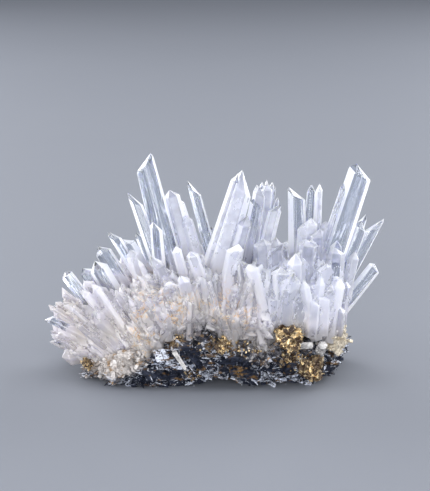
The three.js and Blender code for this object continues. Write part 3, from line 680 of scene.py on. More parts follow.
def small_crystals(druse, kind):
    """Crystals of one small kind on the druse, along the fan and close to the surface."""
    random = random_from(kind.seed)
    found = []
    lowest, highest = kind.band
    for spot, normal in zip(*surface_samples(druse, 12 * kind.count, kind.seed)):
        spot, normal = Vector(spot), Vector(normal)
        level = spot.z - height_at(ROCK_TOP, spot.x)
        outside = not lies_in(spot, kind.box) if kind.box else lies_in(spot, WALL) and not kind.on_wall
        if normal.z < UNDERSIDE or not lowest < level < highest or outside or len(found) == kind.count:
            continue
        fan = fan_lean(spot.x, spot.y, lean=kind.fan).normalized()
        lean = fan + kind.scattered * scatter(random)
        lean.y *= kind.hug + (1 - kind.hug) * abs(normal.z)
        lean = (lean.normalized() + 0.12 * normal).normalized()
        width = random(*kind.width)
        spot = spot - kind.sink * width * normal
        length = random(*kind.length) * (0.6 + 0.4 * random()) * (1 - 0.45 * max(0, normal.z))
        tip = spot + lean * length
        form = (random(*kind.roll), random(0.8, 2.2), random(-0.7, 0.7))
        behind, taper = random(-0.7, 0.7), random(0.7, 0.92)
        along = [spot, spot.lerp(tip, 0.5), tip]
        if inside_box(tip, ROOM["tip"]) and not over_front_needles(along, 0.35 * width).any():
            found.append(Needle(spot, tip, width, *form, taper, behind=behind))
    return found


def joined(body, shapes):
    """The body and the crystals in one closed mesh."""
    operands = bpy.data.collections.new("crystals")
    bpy.context.scene.collection.children.link(operands)
    for vertices, faces, values in shapes:
        thing = mesh_object("crystal", vertices, faces, values)
        bpy.context.scene.collection.objects.unlink(thing)
        operands.objects.link(thing)
    join = body.modifiers.new("join", "BOOLEAN")
    join.operation = "UNION"
    join.solver = "MANIFOLD"
    join.operand_type = "COLLECTION"
    join.collection = operands
    finished_mesh(body)
    for thing in list(operands.objects):
        remove(thing)
    bpy.data.collections.remove(operands)
    return body


def largest_part(thing):
    """Drops the chips and hollows that a union has left apart from the rest."""
    body = bmesh.new()
    body.from_mesh(thing.data)
    seen, parts = set(), []
    for first in body.verts:
        if first in seen:
            continue
        seen.add(first)
        part = [first]
        for vertex in part:
            for edge in vertex.link_edges:
                other = edge.other_vert(vertex)
                if other not in seen:
                    seen.add(other)
                    part.append(other)
        parts.append(part)
    parts.sort(key=len)
    bmesh.ops.delete(body, geom=[vertex for part in parts[:-1] for vertex in part], context="VERTS")
    body.to_mesh(thing.data)
    body.free()
    return thing


def quartz_values(frost_and_highlight, foot, axis, clear, shade):
    """What the faces keep for the quartz's material. All but the frost and painted highlight may be one value
    for all of them.
    """
    count = len(frost_and_highlight)
    return {
        "frost_and_highlight": frost_and_highlight,
        "foot": np.broadcast_to(np.array(foot) * MM, (count, 3)),
        "axis": np.broadcast_to(np.array(axis) * MM, (count, 3)),
        "clear": np.broadcast_to(clear, count),
        "shade": np.broadcast_to(shade, count),
    }


def fused(thing):
    """Fills the gaps between crystals, by swelling and shrinking the mesh, and cuts it into facets."""
    remeshed(thing, FUSED["voxel"])
    fill, times = FUSED["fill"], FUSED["steps"]
    for way in [fill / times] * times + [-(fill + FUSED["below"]) / times] * times:
        place_corners(thing, corners_of(thing) + way * normals_of(thing))
        remeshed(thing, FUSED["voxel"])

    def fan_places(places):
        x, y, z = (places[:, k] - c for k, c in enumerate((FACETS["focus"][0], 0, FACETS["focus"][1])))
        return np.stack([FACETS["across"] * np.arctan2(x, z), y, FACETS["along"] * np.hypot(x, z)], axis=1)

    draw = np.random.default_rng(3)
    places = corners_of(thing)
    seeds = places[draw.choice(len(places), FACETS["cells"], replace=False)]
    fan_seeds = fan_places(seeds)
    nearest = nearest_of(fan_seeds)
    across, along = FACETS["tilt"]
    tilts = draw.normal(size=(len(seeds), 3)) * np.array([across, across, along / FACETS["along"]])
    steps = FACETS["step"] * draw.normal(size=len(seeds))
    spots = fan_places(places)
    cells = nearest(spots)
    heights = steps[cells] + (tilts[cells] * (spots - fan_seeds[cells])).sum(axis=1)
    places = places + np.clip(heights, *FACETS["reach"])[:, None] * normals_of(thing)
    place_corners(thing, np.clip(places, np.array(LOW) + ROOM["mass"], np.array(HIGH) - ROOM["mass"]))

    cells = nearest(fan_places(face_centres(thing)))
    ways = np.array([fan_lean(seed[0], seed[1])[:] for seed in seeds])
    frost_and_highlight = draw.uniform(*FACETS["frost_and_highlight"], len(seeds))[cells]
    shade = draw.random(len(seeds))[cells]
    return with_values(thing, quartz_values(frost_and_highlight, seeds[cells], 10 * ways[cells], -1.0, shade))


def crystals_mesh():
    """All the quartz in one closed mesh. Each face keeps its crystal's foot, axis, clear share and shade."""
    random = random_from(7)

    def made(shape, bury, seed, frost_and_highlight_levels=DULL, wear=0.3):
        vertices, faces, frosts_and_highlights = crystal(shape, bury, seed, frost_and_highlight_levels, wear)
        axis = Vector(shape.tip) - Vector(shape.foot)
        return vertices, faces, quartz_values(frosts_and_highlights, shape.foot, axis, shape.clear, random())

    druse = mesh_object("quartz_cluster_crystals", *druse_slab())
    needles = []
    for i, shape in enumerate(NEEDLES):
        bury = BURY["needle" if shape.tip[1] > FRONT else "front"]
        needles.append(made(shape, bury, i + 1, CLEAR_FROST_AND_HIGHLIGHT if shape.clear > CLEAR else MILKY, 0.1))
    wall = [made(shape, BURY["front"], i + 200) for i, shape in enumerate(WALL_PRISMS)]
    slivers = [made(shape, BURY["front"], i + 250, CLEAR_FROST_AND_HIGHLIGHT) for i, shape in enumerate(SLIVERS)]
    points = [made(shape, BURY["point"], i + 100) for i, shape in enumerate(druse_points())]
    low = []
    for i, stub in enumerate(edge_stubs()):
        thin = bundle(stub, BUNDLE, i + 31)
        low += [made(shape, BURY["stub"], 10 * i + k + 300) for k, shape in enumerate(thin)]
    low += [made(shape, BURY["small"], i + 900) for i, shape in enumerate(bundle(KNOB, HEAP, 9))]
    small = [shape for kind in SMALL_KINDS.values() for shape in small_crystals(druse, kind)]
    low += [made(shape, BURY["small"], i + 1000) for i, shape in enumerate(small)]
    front = [needle for needle, shape in zip(needles, NEEDLES) if shape.tip[1] < FRONT]
    joined(druse, points + low + front + wall)
    return largest_part(joined(fused(druse), needles + points + low + wall + slivers))


# ---- The rock ----


def noisy(spot, scale):
    """Fractal noise at a place in millimetres, stretched along the rock's layers."""
    layered = Vector((spot.x * 0.55 + 0.2 * spot.z, spot.y * 0.55, spot.z * 1.5 - 0.25 * spot.x))
    return noise.fractal(layered * scale, 0.9, 2.1, 4)


def rough_copy(name, node, voxel, depth, scale, proud):
    """A copy of a solid, remeshed finely and broken up by noise, which cuts in more than it stands out."""
    thing = new_object(name, frame["nodes"][node].data.copy())
    remeshed(thing, voxel)
    places, normals = corners_of(thing), normals_of(thing)
    amounts = [depth * min(proud, noisy(Vector(place), scale) - 0.25) for place in places]
    places = places + normals * np.array(amounts)[:, None]
    place_corners(thing, np.clip(places, *box_of(node)))
    return thing


def blocks(name, centres, ways, sizes, seed, jitter=0.35):
    """Many six-sided blocks in one mesh. ways holds each block's own three directions."""
    draw = np.random.default_rng(seed)
    corner = np.array([[x, y, z] for x in (-0.5, 0.5) for y in (-0.5, 0.5) for z in (-0.5, 0.5)])
    quads = np.array([[0, 1, 3, 2], [4, 6, 7, 5], [0, 4, 5, 1], [2, 3, 7, 6], [0, 2, 6, 4], [1, 5, 7, 3]])
    count = len(centres)
    local = corner[None] * (1 + jitter * (draw.random((count, 8, 3)) - 0.5) * 2) * np.asarray(sizes)[:, None]
    places = np.einsum("nkc,ncd->nkd", local, ways) + np.asarray(centres)[:, None]
    low = np.array([LOW.x + ROOM["block"], LOW.y + ROOM["block"], ROOM["sole"]])
    places = np.clip(places, low, np.array(HIGH) - ROOM["block"])
    faces = (quads[None] + 8 * np.arange(count)[:, None, None]).reshape(-1, 4)
    shades = np.repeat(draw.random(count), BLOCK_SIDES)
    return mesh_object(name, places.reshape(-1, 3), faces, {"shade": shades})


def frames_along(normals, draw, tilt, spread=math.pi):
    """Three directions for each block: its length, its width and its thin way, near the given normals."""
    count = len(normals)
    thin = normals + tilt * draw.normal(size=(count, 3))
    thin /= np.linalg.norm(thin, axis=1)[:, None]
    turn = draw.uniform(-spread, spread, count)[:, None]
    other = np.cross(thin, [1.0, 0.0, 0.0])
    other /= np.linalg.norm(other, axis=1)[:, None] + 1e-9
    base = np.cross(other, thin)
    length = np.cos(turn) * base + np.sin(turn) * other
    return np.stack([length, np.cross(thin, length), thin], axis=1)


class Fracture:
    """The rock as cells, stretched along its layers, each with one tilted flat face."""

    stretch = np.array([0.6, 0.8, 1.35])

    def __init__(self, thing, kind, seed):
        draw = np.random.default_rng(seed)
        self.reach = kind["reach"]
        places = corners_of(thing) * self.stretch
        self.seeds = draw.uniform(places.min(axis=0), places.max(axis=0), (kind["cells"], 3))
        self.nearest = nearest_of(self.seeds)
        self.tilts = kind["tilt"] * draw.normal(size=self.seeds.shape)
        self.steps = kind["step"] * draw.normal(size=len(self.seeds))
        self.shades = draw.random(len(self.seeds))

    def cells_at(self, places):
        return self.nearest(places * self.stretch)

    def height(self, places, cells):
        """How far the broken surface stands out at each place."""
        away = places - self.seeds[cells] / self.stretch
        return np.clip(self.steps[cells] + (self.tilts[cells] * away).sum(axis=1), *self.reach)


def break_up(rock, fracture):
    """Moves the rock's surface to the cells' flat faces, which keep their shade and how dusty they are."""
    places, normals = corners_of(rock), normals_of(rock)
    bend = [[noise.noise(Vector(place) * 0.8 + apart) for apart in BEND_PARTS] for place in places]
    bent = places + 0.5 * np.array(bend)
    fine = Fracture(rock, SPLINTERING, 6)
    amounts = fracture.height(places, fracture.cells_at(bent)) + fine.height(places, fine.cells_at(bent))
    place_corners(rock, np.clip(places + normals * amounts[:, None], *box_of("matrix_rock")))
    centres = face_centres(rock)
    with_values(rock, {"shade": fracture.shades[fracture.cells_at(centres)], "dust": dustiness(centres)})


def dustiness(places):
    """1 where the quartz begins and 0 a few millimetres below."""
    return np.clip(1 - (height_at(ROCK_TOP, places[:, 0]) - places[:, 2]) / DUST_DEPTH, 0, 1)


def open_spots(spots, normals, kind):
    return (spots[:, 2] > kind["above"]) & (normals[:, 2] > kind["facing"])


def thin_sizes(draw, kind, count):
    return np.stack([draw.uniform(*kind[key], count) for key in ("length", "width", "thick")], axis=1)


def crumbs_of(name, kind, spots, normals, draw, seed):
    """Crumbs of one kind at the spots, near the normals."""
    ways = frames_along(normals, draw, kind["tilt"])
    sizes = draw.uniform(*kind["size"], (len(spots), 3)) * np.array(kind["form"])
    return blocks(name, spots + kind["lift"] * normals, ways, sizes, seed)


def rock_flakes(rock, fracture):
    """Thin flakes and splinters on the rock, in stacks that lie the same way in each of its cells."""
    draw = np.random.default_rng(17)
    spots, normals = surface_samples(rock, FLAKES["count"], 23)
    cells = fracture.cells_at(spots)
    bare = fracture.shades[cells] < FLAKES["bare"]
    keep = open_spots(spots, normals, FLAKES) & ~bare
    spots, normals, cells = spots[keep], normals[keep], cells[keep]
    count = len(spots)
    layer = np.array(LAYERS) + 0.9 * fracture.tilts[cells]
    share = draw.random(count)[:, None]
    leaning = 0.5 * normals * share + layer * (1.2 - share)
    ways = frames_along(leaning, draw, FLAKES["tilt"], FLAKES["spread"])
    sizes = thin_sizes(draw, FLAKES, count) * draw.uniform(*FLAKES["scale"], count)[:, None]
    flakes = blocks("rock_flakes", spots + FLAKES["lift"] * normals, ways, sizes, 29)
    return with_values(flakes, {"dust": np.repeat(dustiness(spots), BLOCK_SIDES)})


def rock_fibres(rock):
    """Fine threads that lie every way on the rock."""
    draw = np.random.default_rng(19)
    spots, normals = surface_samples(rock, FIBRES["count"], 31)
    keep = open_spots(spots, normals, FIBRES)
    spots, normals = spots[keep], normals[keep]
    ways = frames_along(normals, draw, FIBRES["tilt"])
    sizes = thin_sizes(draw, FIBRES, len(spots))
    fibres = blocks("rock_fibres", spots + FIBRES["lift"] * normals, ways, sizes, 37, 0.2)
    return with_values(fibres, {"dust": np.repeat(dustiness(spots), BLOCK_SIDES)})


def join_crumbs(rock):
    """Crumbs of quartz and ore where the crystals grow from the rock."""
    draw = np.random.default_rng(53)
    spots, normals = surface_samples(rock, 6 * CRUMBS["count"], 59)
    low, high = CRUMBS["band"]
    share = (spots[:, 2] - height_at(ROCK_TOP, spots[:, 0]) - low) / (high - low)
    near = np.flatnonzero((share > 0) & (draw.random(len(spots)) < np.clip(share * 1.6, 0, 1)))
    near = near[: CRUMBS["count"]]
    return crumbs_of("join_crumbs", CRUMBS, spots[near], normals[near], draw, 71)


def gold_grains(rock):
    """Crumbs of pyrite in patches on the rock."""
    draw = np.random.default_rng(41)
    places, normals = corners_of(rock), normals_of(rock)
    chosen = []
    for middle, reach, count in GOLD_PATCHES:
        away = (((places - np.array(middle)) / np.array(reach)) ** 2).sum(axis=1)
        near = np.flatnonzero((away < GOLD_FAR) & (places[:, 2] > 0.5))
        weight = np.exp(-away[near])
        chosen.extend(draw.choice(near, count, p=weight / weight.sum()))
    return crumbs_of("pyrite_grains", GRAINS, places[chosen], normals[chosen], draw, 43)


def pyrite_crust(node, count, size, plated, seed):
    """One lump of pyrite: a rough copy of its solid, grown over with small blocks."""
    draw = np.random.default_rng(seed)
    core = rough_copy(f"{node}_crust", node, *ROUGH_PYRITE)
    spots, normals = surface_samples(core, count, seed + 1)
    ways = frames_along(normals, draw, PYRITE_TILT)
    sizes = draw.uniform(*size, (count, 3)) * np.array(PYRITE_FORM)
    plates = (normals @ PLATES["way"] > 0.6) & (draw.random(count) < plated)
    sizes[plates] = draw.uniform(PLATES["low"], PLATES["high"], (plates.sum(), 3))
    low, high = box_of(node)
    spots = np.clip(spots, low + ROOM["growth"], high - ROOM["growth"])
    grown = blocks(f"{node}_grown", spots, ways, sizes, seed + 2)
    with_values(core, {"shade": np.full(len(core.data.polygons), CORE_SHADE)})
    body = bmesh.new()
    body.from_mesh(core.data)
    body.from_mesh(grown.data)
    body.to_mesh(core.data)
    body.free()
    remove(grown)
    return core


# ---- Materials ----


QUARTZ_IOR = 1.544
ABSORBED_TO = (0.62, 0.74, 0.95, 1)
ABSORPTION = 22.0
LAVENDER = (0.46, 0.49, 0.62, 1)
PALE_LAVENDER = (0.72, 0.73, 0.82, 1)
WHITE = (0.90, 0.905, 0.94, 1)
GLASS = (0.80, 0.84, 0.92, 1)
COOL_BEIGE = (0.62, 0.59, 0.65, 1)
WARM_BEIGE = (0.65, 0.60, 0.57, 1)
PALE_BEIGE = (0.82, 0.79, 0.81, 1)
AMBER = (0.62, 0.37, 0.11, 1)
DARK_GRIME = (0.25, 0.24, 0.25, 1)
PALE_GRIME = (0.5, 0.48, 0.5, 1)
BROWN = (0.30, 0.17, 0.06, 1)
DARK_CRUMB = (0.10, 0.10, 0.12, 1)
PALE_CRUMB = (0.74, 0.71, 0.70, 1)
DARK_LEFT = (0.50, 0.46, 0.45, 1)
PALE_LEFT = (0.86, 0.83, 0.81, 1)
WARM_QUARTZ = (0.74, 0.71, 0.68, 1)
WHITE_QUARTZ = (0.93, 0.93, 0.95, 1)
BLACK_ORE = (0.001, 0.002, 0.005, 1)
BLUE_ORE = (0.034, 0.042, 0.072, 1)
GLINT = (0.74, 0.78, 0.88, 1)
DUST = (0.34, 0.31, 0.31, 1)
LEFT_DUST = (0.60, 0.56, 0.54, 1)
RUST = (0.20, 0.115, 0.04, 1)
DEEP_GOLD = (0.74, 0.45, 0.15, 1)
BRIGHT_GOLD = (1.0, 0.88, 0.60, 1)
PALE_GOLD = (0.97, 0.92, 0.80, 1)
TARNISH = (0.055, 0.032, 0.02, 1)


class Nodes:
    """Builds one material. A socket's value is a number, a tuple or another node's output."""

    def __init__(self, name):
        self.material = bpy.data.materials.new(name)
        self.material.use_nodes = True
        self.tree = self.material.node_tree
        self.shader = self.tree.nodes["Principled BSDF"]
        self.output = self.tree.nodes["Material Output"]

    def put(self, socket, value):
        if isinstance(value, bpy.types.NodeSocket):
            self.tree.links.new(value, socket)
        else:
            socket.default_value = value

    def make(self, kind, values, out=0, **settings):
        node = self.tree.nodes.new(f"ShaderNode{kind}")
        for key, setting in settings.items():
            setattr(node, key, setting)
        for key, value in values.items():
            self.put(node.inputs[key], value)
        return node.outputs[out]

    def maths(self, operation, *values):
        return self.make("Math", dict(enumerate(values)), operation=operation)

    times = partialmethod(maths, "MULTIPLY")
    plus = partialmethod(maths, "ADD")
    minus = partialmethod(maths, "SUBTRACT")
    over = partialmethod(maths, "DIVIDE")
    larger = partialmethod(maths, "MAXIMUM")
    size = partialmethod(maths, "ABSOLUTE")

    def vectors(self, operation, *values, out=0):
        return self.make("VectorMath", dict(enumerate(values)), out, operation=operation)

    dot = partialmethod(vectors, "DOT_PRODUCT", out="Value")
    length = partialmethod(vectors, "LENGTH", out="Value")

    def scaled(self, vector, factor):
        return self.make("VectorMath", {0: vector, "Scale": factor}, operation="SCALE")

    def ramp(self, value, low, high, start=0.0, end=1.0):
        values = {"Value": value, "From Min": low, "From Max": high, "To Min": start, "To Max": end}
        return self.make("MapRange", values, interpolation_type="SMOOTHSTEP")

    def mix(self, share, first, second):
        return self.make("Mix", {0: share, 6: first, 7: second}, 2, data_type="RGBA")

    def noise(self, vector, scale, detail=3.0, rough=0.55, distortion=0.0):
        values = {"Vector": vector, "Scale": scale, "Detail": detail, "Roughness": rough}
        return self.make("TexNoise", values | {"Distortion": distortion})

    def attribute(self, name, out="Fac"):
        return self.make("Attribute", {}, out, attribute_name=name)

    def place(self):
        """Where the surface is, in millimetres."""
        return self.scaled(self.make("TexCoord", {}, "Object"), 1 / MM)

    def x_and_z(self, place):
        return (self.make("SeparateXYZ", {0: place}, axis) for axis in "XZ")

    def blend(self, share, first, second):
        return self.ramp(share, 0.0, 1.0, first, second)

    def profile(self, value, points):
        """The height of a profile at the value, with straight lines between its points."""
        low, high = (f([p[0] for p in points]) for f in (min, max))
        top = max(p[1] for p in points)
        ramp = self.tree.nodes.new("ShaderNodeValToRGB")
        stops = ramp.color_ramp.elements
        for i, (x, height) in enumerate(points):
            stop = stops[i] if i < 2 else stops.new(1.0)
            stop.position = (x - low) / (high - low)
            stop.color = (height / top,) * 3 + (1,)
        self.put(ramp.inputs[0], self.over(self.minus(value, low), high - low))
        return self.times(ramp.outputs[0], top)

    def bump(self, height, strength, distance):
        return self.make("Bump", {"Height": height, "Strength": strength, "Distance": distance * MM})

    def set(self, **values):
        for key, value in values.items():
            self.put(self.shader.inputs[key.replace("_", " ")], value)


def left_end(n, x, z, start, end):
    """1 at the left end of the cluster, above its sole."""
    return n.times(n.ramp(x, start, end), n.ramp(z, 1.5, 4.0))


def quartz_material():
    n = Nodes("quartz")
    place = n.place()
    x, z = n.x_and_z(place)
    foot, axis = (n.scaled(n.attribute(name, "Vector"), 1 / MM) for name in ("foot", "axis"))
    clear, shade, frost_and_highlight = (n.attribute(name) for name in ("clear", "shade", "frost_and_highlight"))
    away = n.vectors("SUBTRACT", place, foot)
    way = n.vectors("NORMALIZE", axis)
    along = n.dot(away, way)
    share = n.over(along, n.length(axis))

    # Streaks run lengthwise: the noise is squeezed along each crystal's own axis.
    shift = n.scaled(n.make("CombineXYZ", {"X": shade, "Y": shade}), 50.0)
    squeezed = n.vectors("SUBTRACT", away, n.scaled(way, n.times(along, 0.9)))
    streak = n.noise(n.vectors("ADD", squeezed, shift), 0.9, 4.0)
    cloud = n.noise(n.vectors("ADD", place, shift), 0.35, 4.0)
    wisp = n.noise(n.vectors("ADD", squeezed, shift), 0.55, 6.0, 0.7, 1.4)
    growth = n.noise(n.make("CombineXYZ", {"X": n.times(along, 2.2), "Y": shade}), 1.0, 2.0)

    # Painted highlights: thin white lines where crystals have grown side by side as one.
    flat = n.vectors("SUBTRACT", away, n.scaled(way, n.times(along, 0.985)))
    across = n.size(n.minus(n.noise(n.vectors("ADD", flat, shift), 0.8, 1.0), 0.5))
    highlight_line = n.ramp(across, 0.0, 0.014, 1.0, 0.0)
    facing = n.dot(n.make("NewGeometry", {}, "Normal"), way)
    highlight_line = n.times(highlight_line, n.ramp(n.size(facing), 0.3, 0.15))

    # How clear the quartz is: from the tip down, with white wisps in it.
    start = n.minus(1.0, clear)
    reached = n.plus(share, n.times(n.minus(streak, 0.5), 0.35))
    window = n.ramp(n.minus(reached, start), -0.06, 0.08)
    window = n.times(window, n.ramp(clear, 0.02, 0.1))
    veiled = n.ramp(wisp, 0.56, 0.66, 1.0, 0.45)
    milk = n.ramp(n.plus(n.times(cloud, 0.7), n.times(shade, 0.3)), 0.3, 0.7, 0.2, 0.58)
    milk = n.plus(milk, n.ramp(z, 22.0, 38.0, 0.0, 0.3))
    through = n.make("Mix", {0: window, 2: milk, 3: n.times(veiled, 0.97)})

    # White and lavender, turning beige towards the rock.
    raised = n.plus(n.times(cloud, 14.0), n.ramp(x, 7.0, 15.0, -6.0, 3.0))
    lowness = n.ramp(n.plus(z, raised), 34.0, 16.0)
    highlight_line = n.times(highlight_line, n.ramp(clear, 0.1, 0.3, 0.35, 0.8))
    frost_and_highlight = n.larger(frost_and_highlight, highlight_line)
    # Painted highlights: where the frost value is high, on worn edges, side faces and thin lines, the colour
    # turns white.
    white = n.mix(frost_and_highlight, n.mix(streak, LAVENDER, PALE_LAVENDER), WHITE)
    beige = n.mix(n.ramp(n.noise(place, 0.09, 2.0), 0.4, 0.6), COOL_BEIGE, WARM_BEIGE)
    warm = n.mix(lowness, white, n.mix(frost_and_highlight, beige, PALE_BEIGE))
    colour = n.mix(window, warm, n.mix(frost_and_highlight, GLASS, white))

    # Amber seams in the middle, and grime where the quartz meets the rock.
    patch = n.ramp(n.noise(place, 0.16, 2.0), 0.40, 0.50)
    vein = n.size(n.minus(n.noise(place, 0.34, 4.0, 0.6, 0.5), 0.5))
    stained = n.times(n.ramp(vein, 0.0, 0.034, 1.0, 0.0), patch)
    stained = n.times(stained, n.ramp(z, 28.0, 17.0))
    stained = n.times(stained, n.ramp(n.size(n.plus(x, 5.0)), 17.0, 12.0))
    colour = n.mix(n.times(stained, 0.85), colour, AMBER)
    above = n.plus(n.minus(z, n.profile(x, GRIME_TOP)), n.times(n.noise(place, 0.5, 5.0), 7.0))
    grime = n.ramp(above, 7.5, 3.6)
    colour = n.mix(n.times(grime, 0.8), colour, n.mix(streak, DARK_GRIME, PALE_GRIME))
    through = n.times(through, n.blend(stained, 1.0, 0.35))
    through = n.times(through, n.blend(frost_and_highlight, 1.0, 0.25))

    mass = n.ramp(clear, -0.6, -0.4, 1.0, 0.0)
    grain = n.noise(place, 1.3, 5.0, 0.65)
    ridges = n.plus(streak, n.times(growth, 0.35))
    ridges = n.plus(ridges, n.times(mass, n.times(grain, 1.5)))
    n.set(
        Base_Color=colour,
        Transmission_Weight=through,
        Roughness=n.ramp(n.plus(through, n.times(streak, 0.2)), 0.4, 1.0, 0.3, 0.02),
        IOR=QUARTZ_IOR,
        Subsurface_Weight=0.9,
        Subsurface_Scale=2.0 * MM,
        Subsurface_Radius=(1.0, 1.0, 1.15),
        Normal=n.bump(ridges, n.blend(window, 0.3, 0.06), 0.2),
    )
    absorbed = n.make("VolumeAbsorption", {"Color": ABSORBED_TO, "Density": ABSORPTION})
    n.put(n.output.inputs["Volume"], absorbed)
    return n.material


def crumb_material():
    n = Nodes("crumbs")
    place = n.place()
    x, z = n.x_and_z(place)
    shade = n.attribute("shade")
    cloud = n.noise(place, 0.5, 4.0)
    left = left_end(n, x, z, -13.0, -19.0)
    grey = n.mix(n.ramp(shade, 0.1, 0.9), DARK_CRUMB, PALE_CRUMB)
    grey = n.mix(left, grey, n.mix(shade, DARK_LEFT, PALE_LEFT))
    brown = n.ramp(n.plus(cloud, n.times(shade, 0.2)), 0.64, 0.74)
    n.set(
        Base_Color=n.mix(n.times(brown, 0.85), grey, BROWN),
        Transmission_Weight=n.ramp(shade, 0.4, 1.0, 0.0, 0.4),
        Roughness=n.ramp(cloud, 0.3, 0.7, 0.15, 0.4),
        IOR=QUARTZ_IOR,
        Normal=n.bump(n.noise(place, 3.0, 3.0), 0.4, 0.2),
    )
    return n.material


def loose_quartz_material():
    n = Nodes("loose_quartz")
    place = n.place()
    cloud = n.noise(place, 0.8, 4.0)
    n.set(
        Base_Color=n.mix(cloud, WARM_QUARTZ, WHITE_QUARTZ),
        Transmission_Weight=n.ramp(cloud, 0.35, 0.65, 0.35, 0.8),
        Roughness=n.ramp(cloud, 0.3, 0.7, 0.06, 0.22),
        IOR=QUARTZ_IOR,
        Normal=n.bump(n.noise(place, 2.5, 3.0), 0.3, 0.2),
    )
    return n.material


def rock_material():
    n = Nodes("ore_rock")
    place = n.place()
    x, z = n.x_and_z(place)
    shade = n.attribute("shade")
    layered = n.vectors("MULTIPLY", place, (0.5, 0.6, 1.6))
    grain = n.noise(layered, 1.6, 6.0, 0.65, 0.8)
    patch = n.noise(place, 0.16, 3.0)
    mottle = n.noise(layered, 0.7, 4.0)
    dust = n.attribute("dust")
    glint = n.ramp(n.plus(grain, n.times(shade, 0.42)), 0.775, 0.87)
    dark = n.mix(n.ramp(grain, 0.3, 0.7), BLACK_ORE, BLUE_ORE)
    bright = n.mix(glint, dark, GLINT)
    dusty = n.times(dust, n.ramp(mottle, 0.35, 0.6))
    steel = n.mix(n.times(dusty, 0.75), bright, DUST)
    left = left_end(n, x, z, -14.0, -21.0)
    steel = n.mix(n.times(left, n.ramp(dust, 0.2, 0.6)), steel, LEFT_DUST)
    rust = n.ramp(n.plus(mottle, n.times(patch, 0.5)), 0.82, 0.93)
    n.set(
        Base_Color=n.mix(n.times(rust, 0.8), steel, RUST),
        Metallic=n.times(n.blend(glint, 0.12, 0.7), n.blend(dusty, 1.0, 0.2)),
        Roughness=n.ramp(grain, 0.3, 0.7, 0.28, 0.6),
        Specular_IOR_Level=n.blend(glint, 0.22, 0.5),
        Normal=n.bump(n.noise(layered, 3.2, 5.0, 0.7), 0.8, 0.35),
    )
    return n.material


def pyrite_material():
    n = Nodes("pyrite")
    place = n.place()
    x, z = n.x_and_z(place)
    shade = n.attribute("shade")
    grain = n.noise(place, 1.1, 5.0, 0.65)
    fine = n.noise(place, 4.0, 3.0)
    tarnish_and_darkening = n.ramp(n.plus(grain, n.times(shade, -0.45)), 0.14, 0.38)
    gold = n.mix(n.ramp(fine, 0.35, 0.65), DEEP_GOLD, BRIGHT_GOLD)
    right = n.ramp(x, 24.5, 27.0)
    gold = n.mix(n.times(right, 0.8), gold, PALE_GOLD)
    # Darker towards the bottom: in places below a height of 10, and in patches below 14, less so on the
    # right.
    low = n.ramp(z, 10.0, 7.0, 0.0, 0.35)
    tarnish_and_darkening = n.times(tarnish_and_darkening, n.blend(right, 1.0, 0.5))
    tarnish_and_darkening = n.larger(tarnish_and_darkening, n.times(low, n.ramp(grain, 0.4, 0.6, 0.0, 2.0)))
    bare = n.times(n.ramp(n.noise(place, 0.42, 3.0), 0.47, 0.56), n.ramp(z, 14.0, 11.5))
    tarnish_and_darkening = n.larger(tarnish_and_darkening, n.times(bare, n.blend(right, 0.9, 0.2)))
    n.set(
        Base_Color=n.mix(tarnish_and_darkening, gold, TARNISH),
        Metallic=n.blend(tarnish_and_darkening, 0.6, 0.3),
        Roughness=n.ramp(fine, 0.3, 0.7, 0.2, 0.45),
        Normal=n.bump(fine, 0.5, 0.2),
    )
    return n.material


# ---- The pieces ----

QUARTZ = quartz_material()
LOOSE = loose_quartz_material()
CRUMB = crumb_material()
ORE = rock_material()
PYRITE = pyrite_material()

dress(crystals_mesh(), "quartz", QUARTZ, "quartz_crystals")

rock = rough_copy("rock_body", "matrix_rock", *ROUGH_ROCK)
fracture = Fracture(rock, FRACTURE, 5)
break_up(rock, fracture)
flakes = rock_flakes(rock, fracture)
fibres = rock_fibres(rock)
grains = gold_grains(rock)
crumbs = join_crumbs(rock)
dress(rock, "ore_rock", ORE, "matrix_rock")
dress(flakes, "ore_rock", ORE)
dress(fibres, "ore_rock", ORE)
dress(grains, "pyrite", PYRITE)
dress(crumbs, "quartz", CRUMB)

for i, (node, growth) in enumerate(PYRITE_GROWTH.items()):
    dress(pyrite_crust(node, *growth, 60 + 10 * i), "pyrite", PYRITE, node)

for node in ("quartz_nub_right", "quartz_stub_right", "quartz_splinter_front"):
    solid = frame["nodes"][node]
    solid.data.materials.clear()
    solid.data.materials.append(LOOSE)
    worn = solid.modifiers.new("worn_edges", "BEVEL")
    worn.width = LOOSE_EDGE * MM

# ---- The studio ----

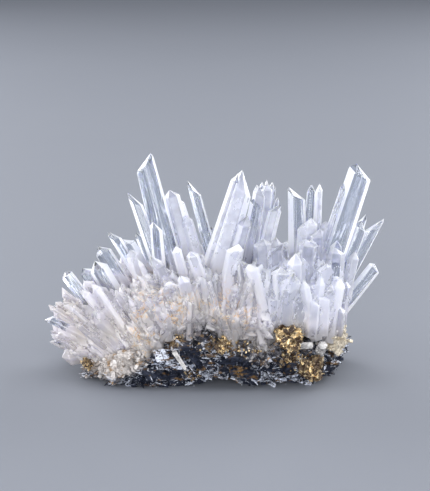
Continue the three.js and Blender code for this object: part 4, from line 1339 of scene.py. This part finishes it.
FLOOR_SIZE = 6.0
FLOOR_COLOURS = ((0.175, 0.188, 0.22, 1), (0.185, 0.198, 0.23, 1))
SKY = {"Color": (0.52, 0.56, 0.64, 1), "Strength": 0.42}
CAMERA = {"lens": 120, "sensor_width": 36, "clip_start": 0.01}
CAMERA_DISTANCE = 0.388
CAMERA_AIM = Vector((0, 0, 0.0311))
LIGHTS_AIM = Vector((0, 0, 0.02))
# Each light's place, size and power.
LIGHTS = {
    "overhead": ((0.0, 0.02, 0.55), (0.5, 0.4), 1.4),
    "front": ((-0.05, -0.62, 0.2), (0.9, 0.36), 5.0),
    "back_left": ((-0.45, 0.42, 0.22), (0.45, 0.5), 4.0),
    "back_right": ((0.45, 0.42, 0.22), (0.45, 0.5), 4.0),
    "left": ((-0.5, -0.1, 0.2), (0.3, 0.4), 1.8),
    "right": ((0.5, -0.1, 0.2), (0.3, 0.4), 1.8),
}


def aimed(name, data, place, target):
    thing = new_object(name, data)
    thing.location = place
    thing.rotation_euler = (target - Vector(place)).to_track_quat("-Z", "Y").to_euler()
    return thing


def make_floor():
    n = Nodes("floor")
    cloud = n.noise(n.make("TexCoord", {}, "Object"), 9.0, 3.0)
    n.set(Base_Color=n.mix(cloud, *FLOOR_COLOURS), Roughness=0.8)
    bpy.ops.mesh.primitive_grid_add(x_subdivisions=8, y_subdivisions=8, size=FLOOR_SIZE)
    floor = bpy.context.object
    floor.name = "floor"
    floor.data.materials.append(n.material)


def make_lights():
    for name, (place, size, power) in LIGHTS.items():
        light = bpy.data.lights.new(name, "AREA")
        light.shape = "RECTANGLE"
        light.size, light.size_y = size
        light.energy = power
        aimed(name, light, place, LIGHTS_AIM)
    world = bpy.data.worlds.new("studio")
    bpy.context.scene.world = world
    world.use_nodes = True
    for key, value in SKY.items():
        world.node_tree.nodes["Background"].inputs[key].default_value = value


def make_camera():
    camera = bpy.data.cameras.new("camera")
    for key, value in CAMERA.items():
        setattr(camera, key, value)
    away = Vector((0, -math.cos(TOWARDS_FRONT), math.sin(TOWARDS_FRONT)))
    bpy.context.scene.camera = aimed("camera", camera, CAMERA_AIM + CAMERA_DISTANCE * away, CAMERA_AIM)


make_floor()
make_lights()
make_camera()
bpy.context.scene.view_settings.view_transform = "Standard"
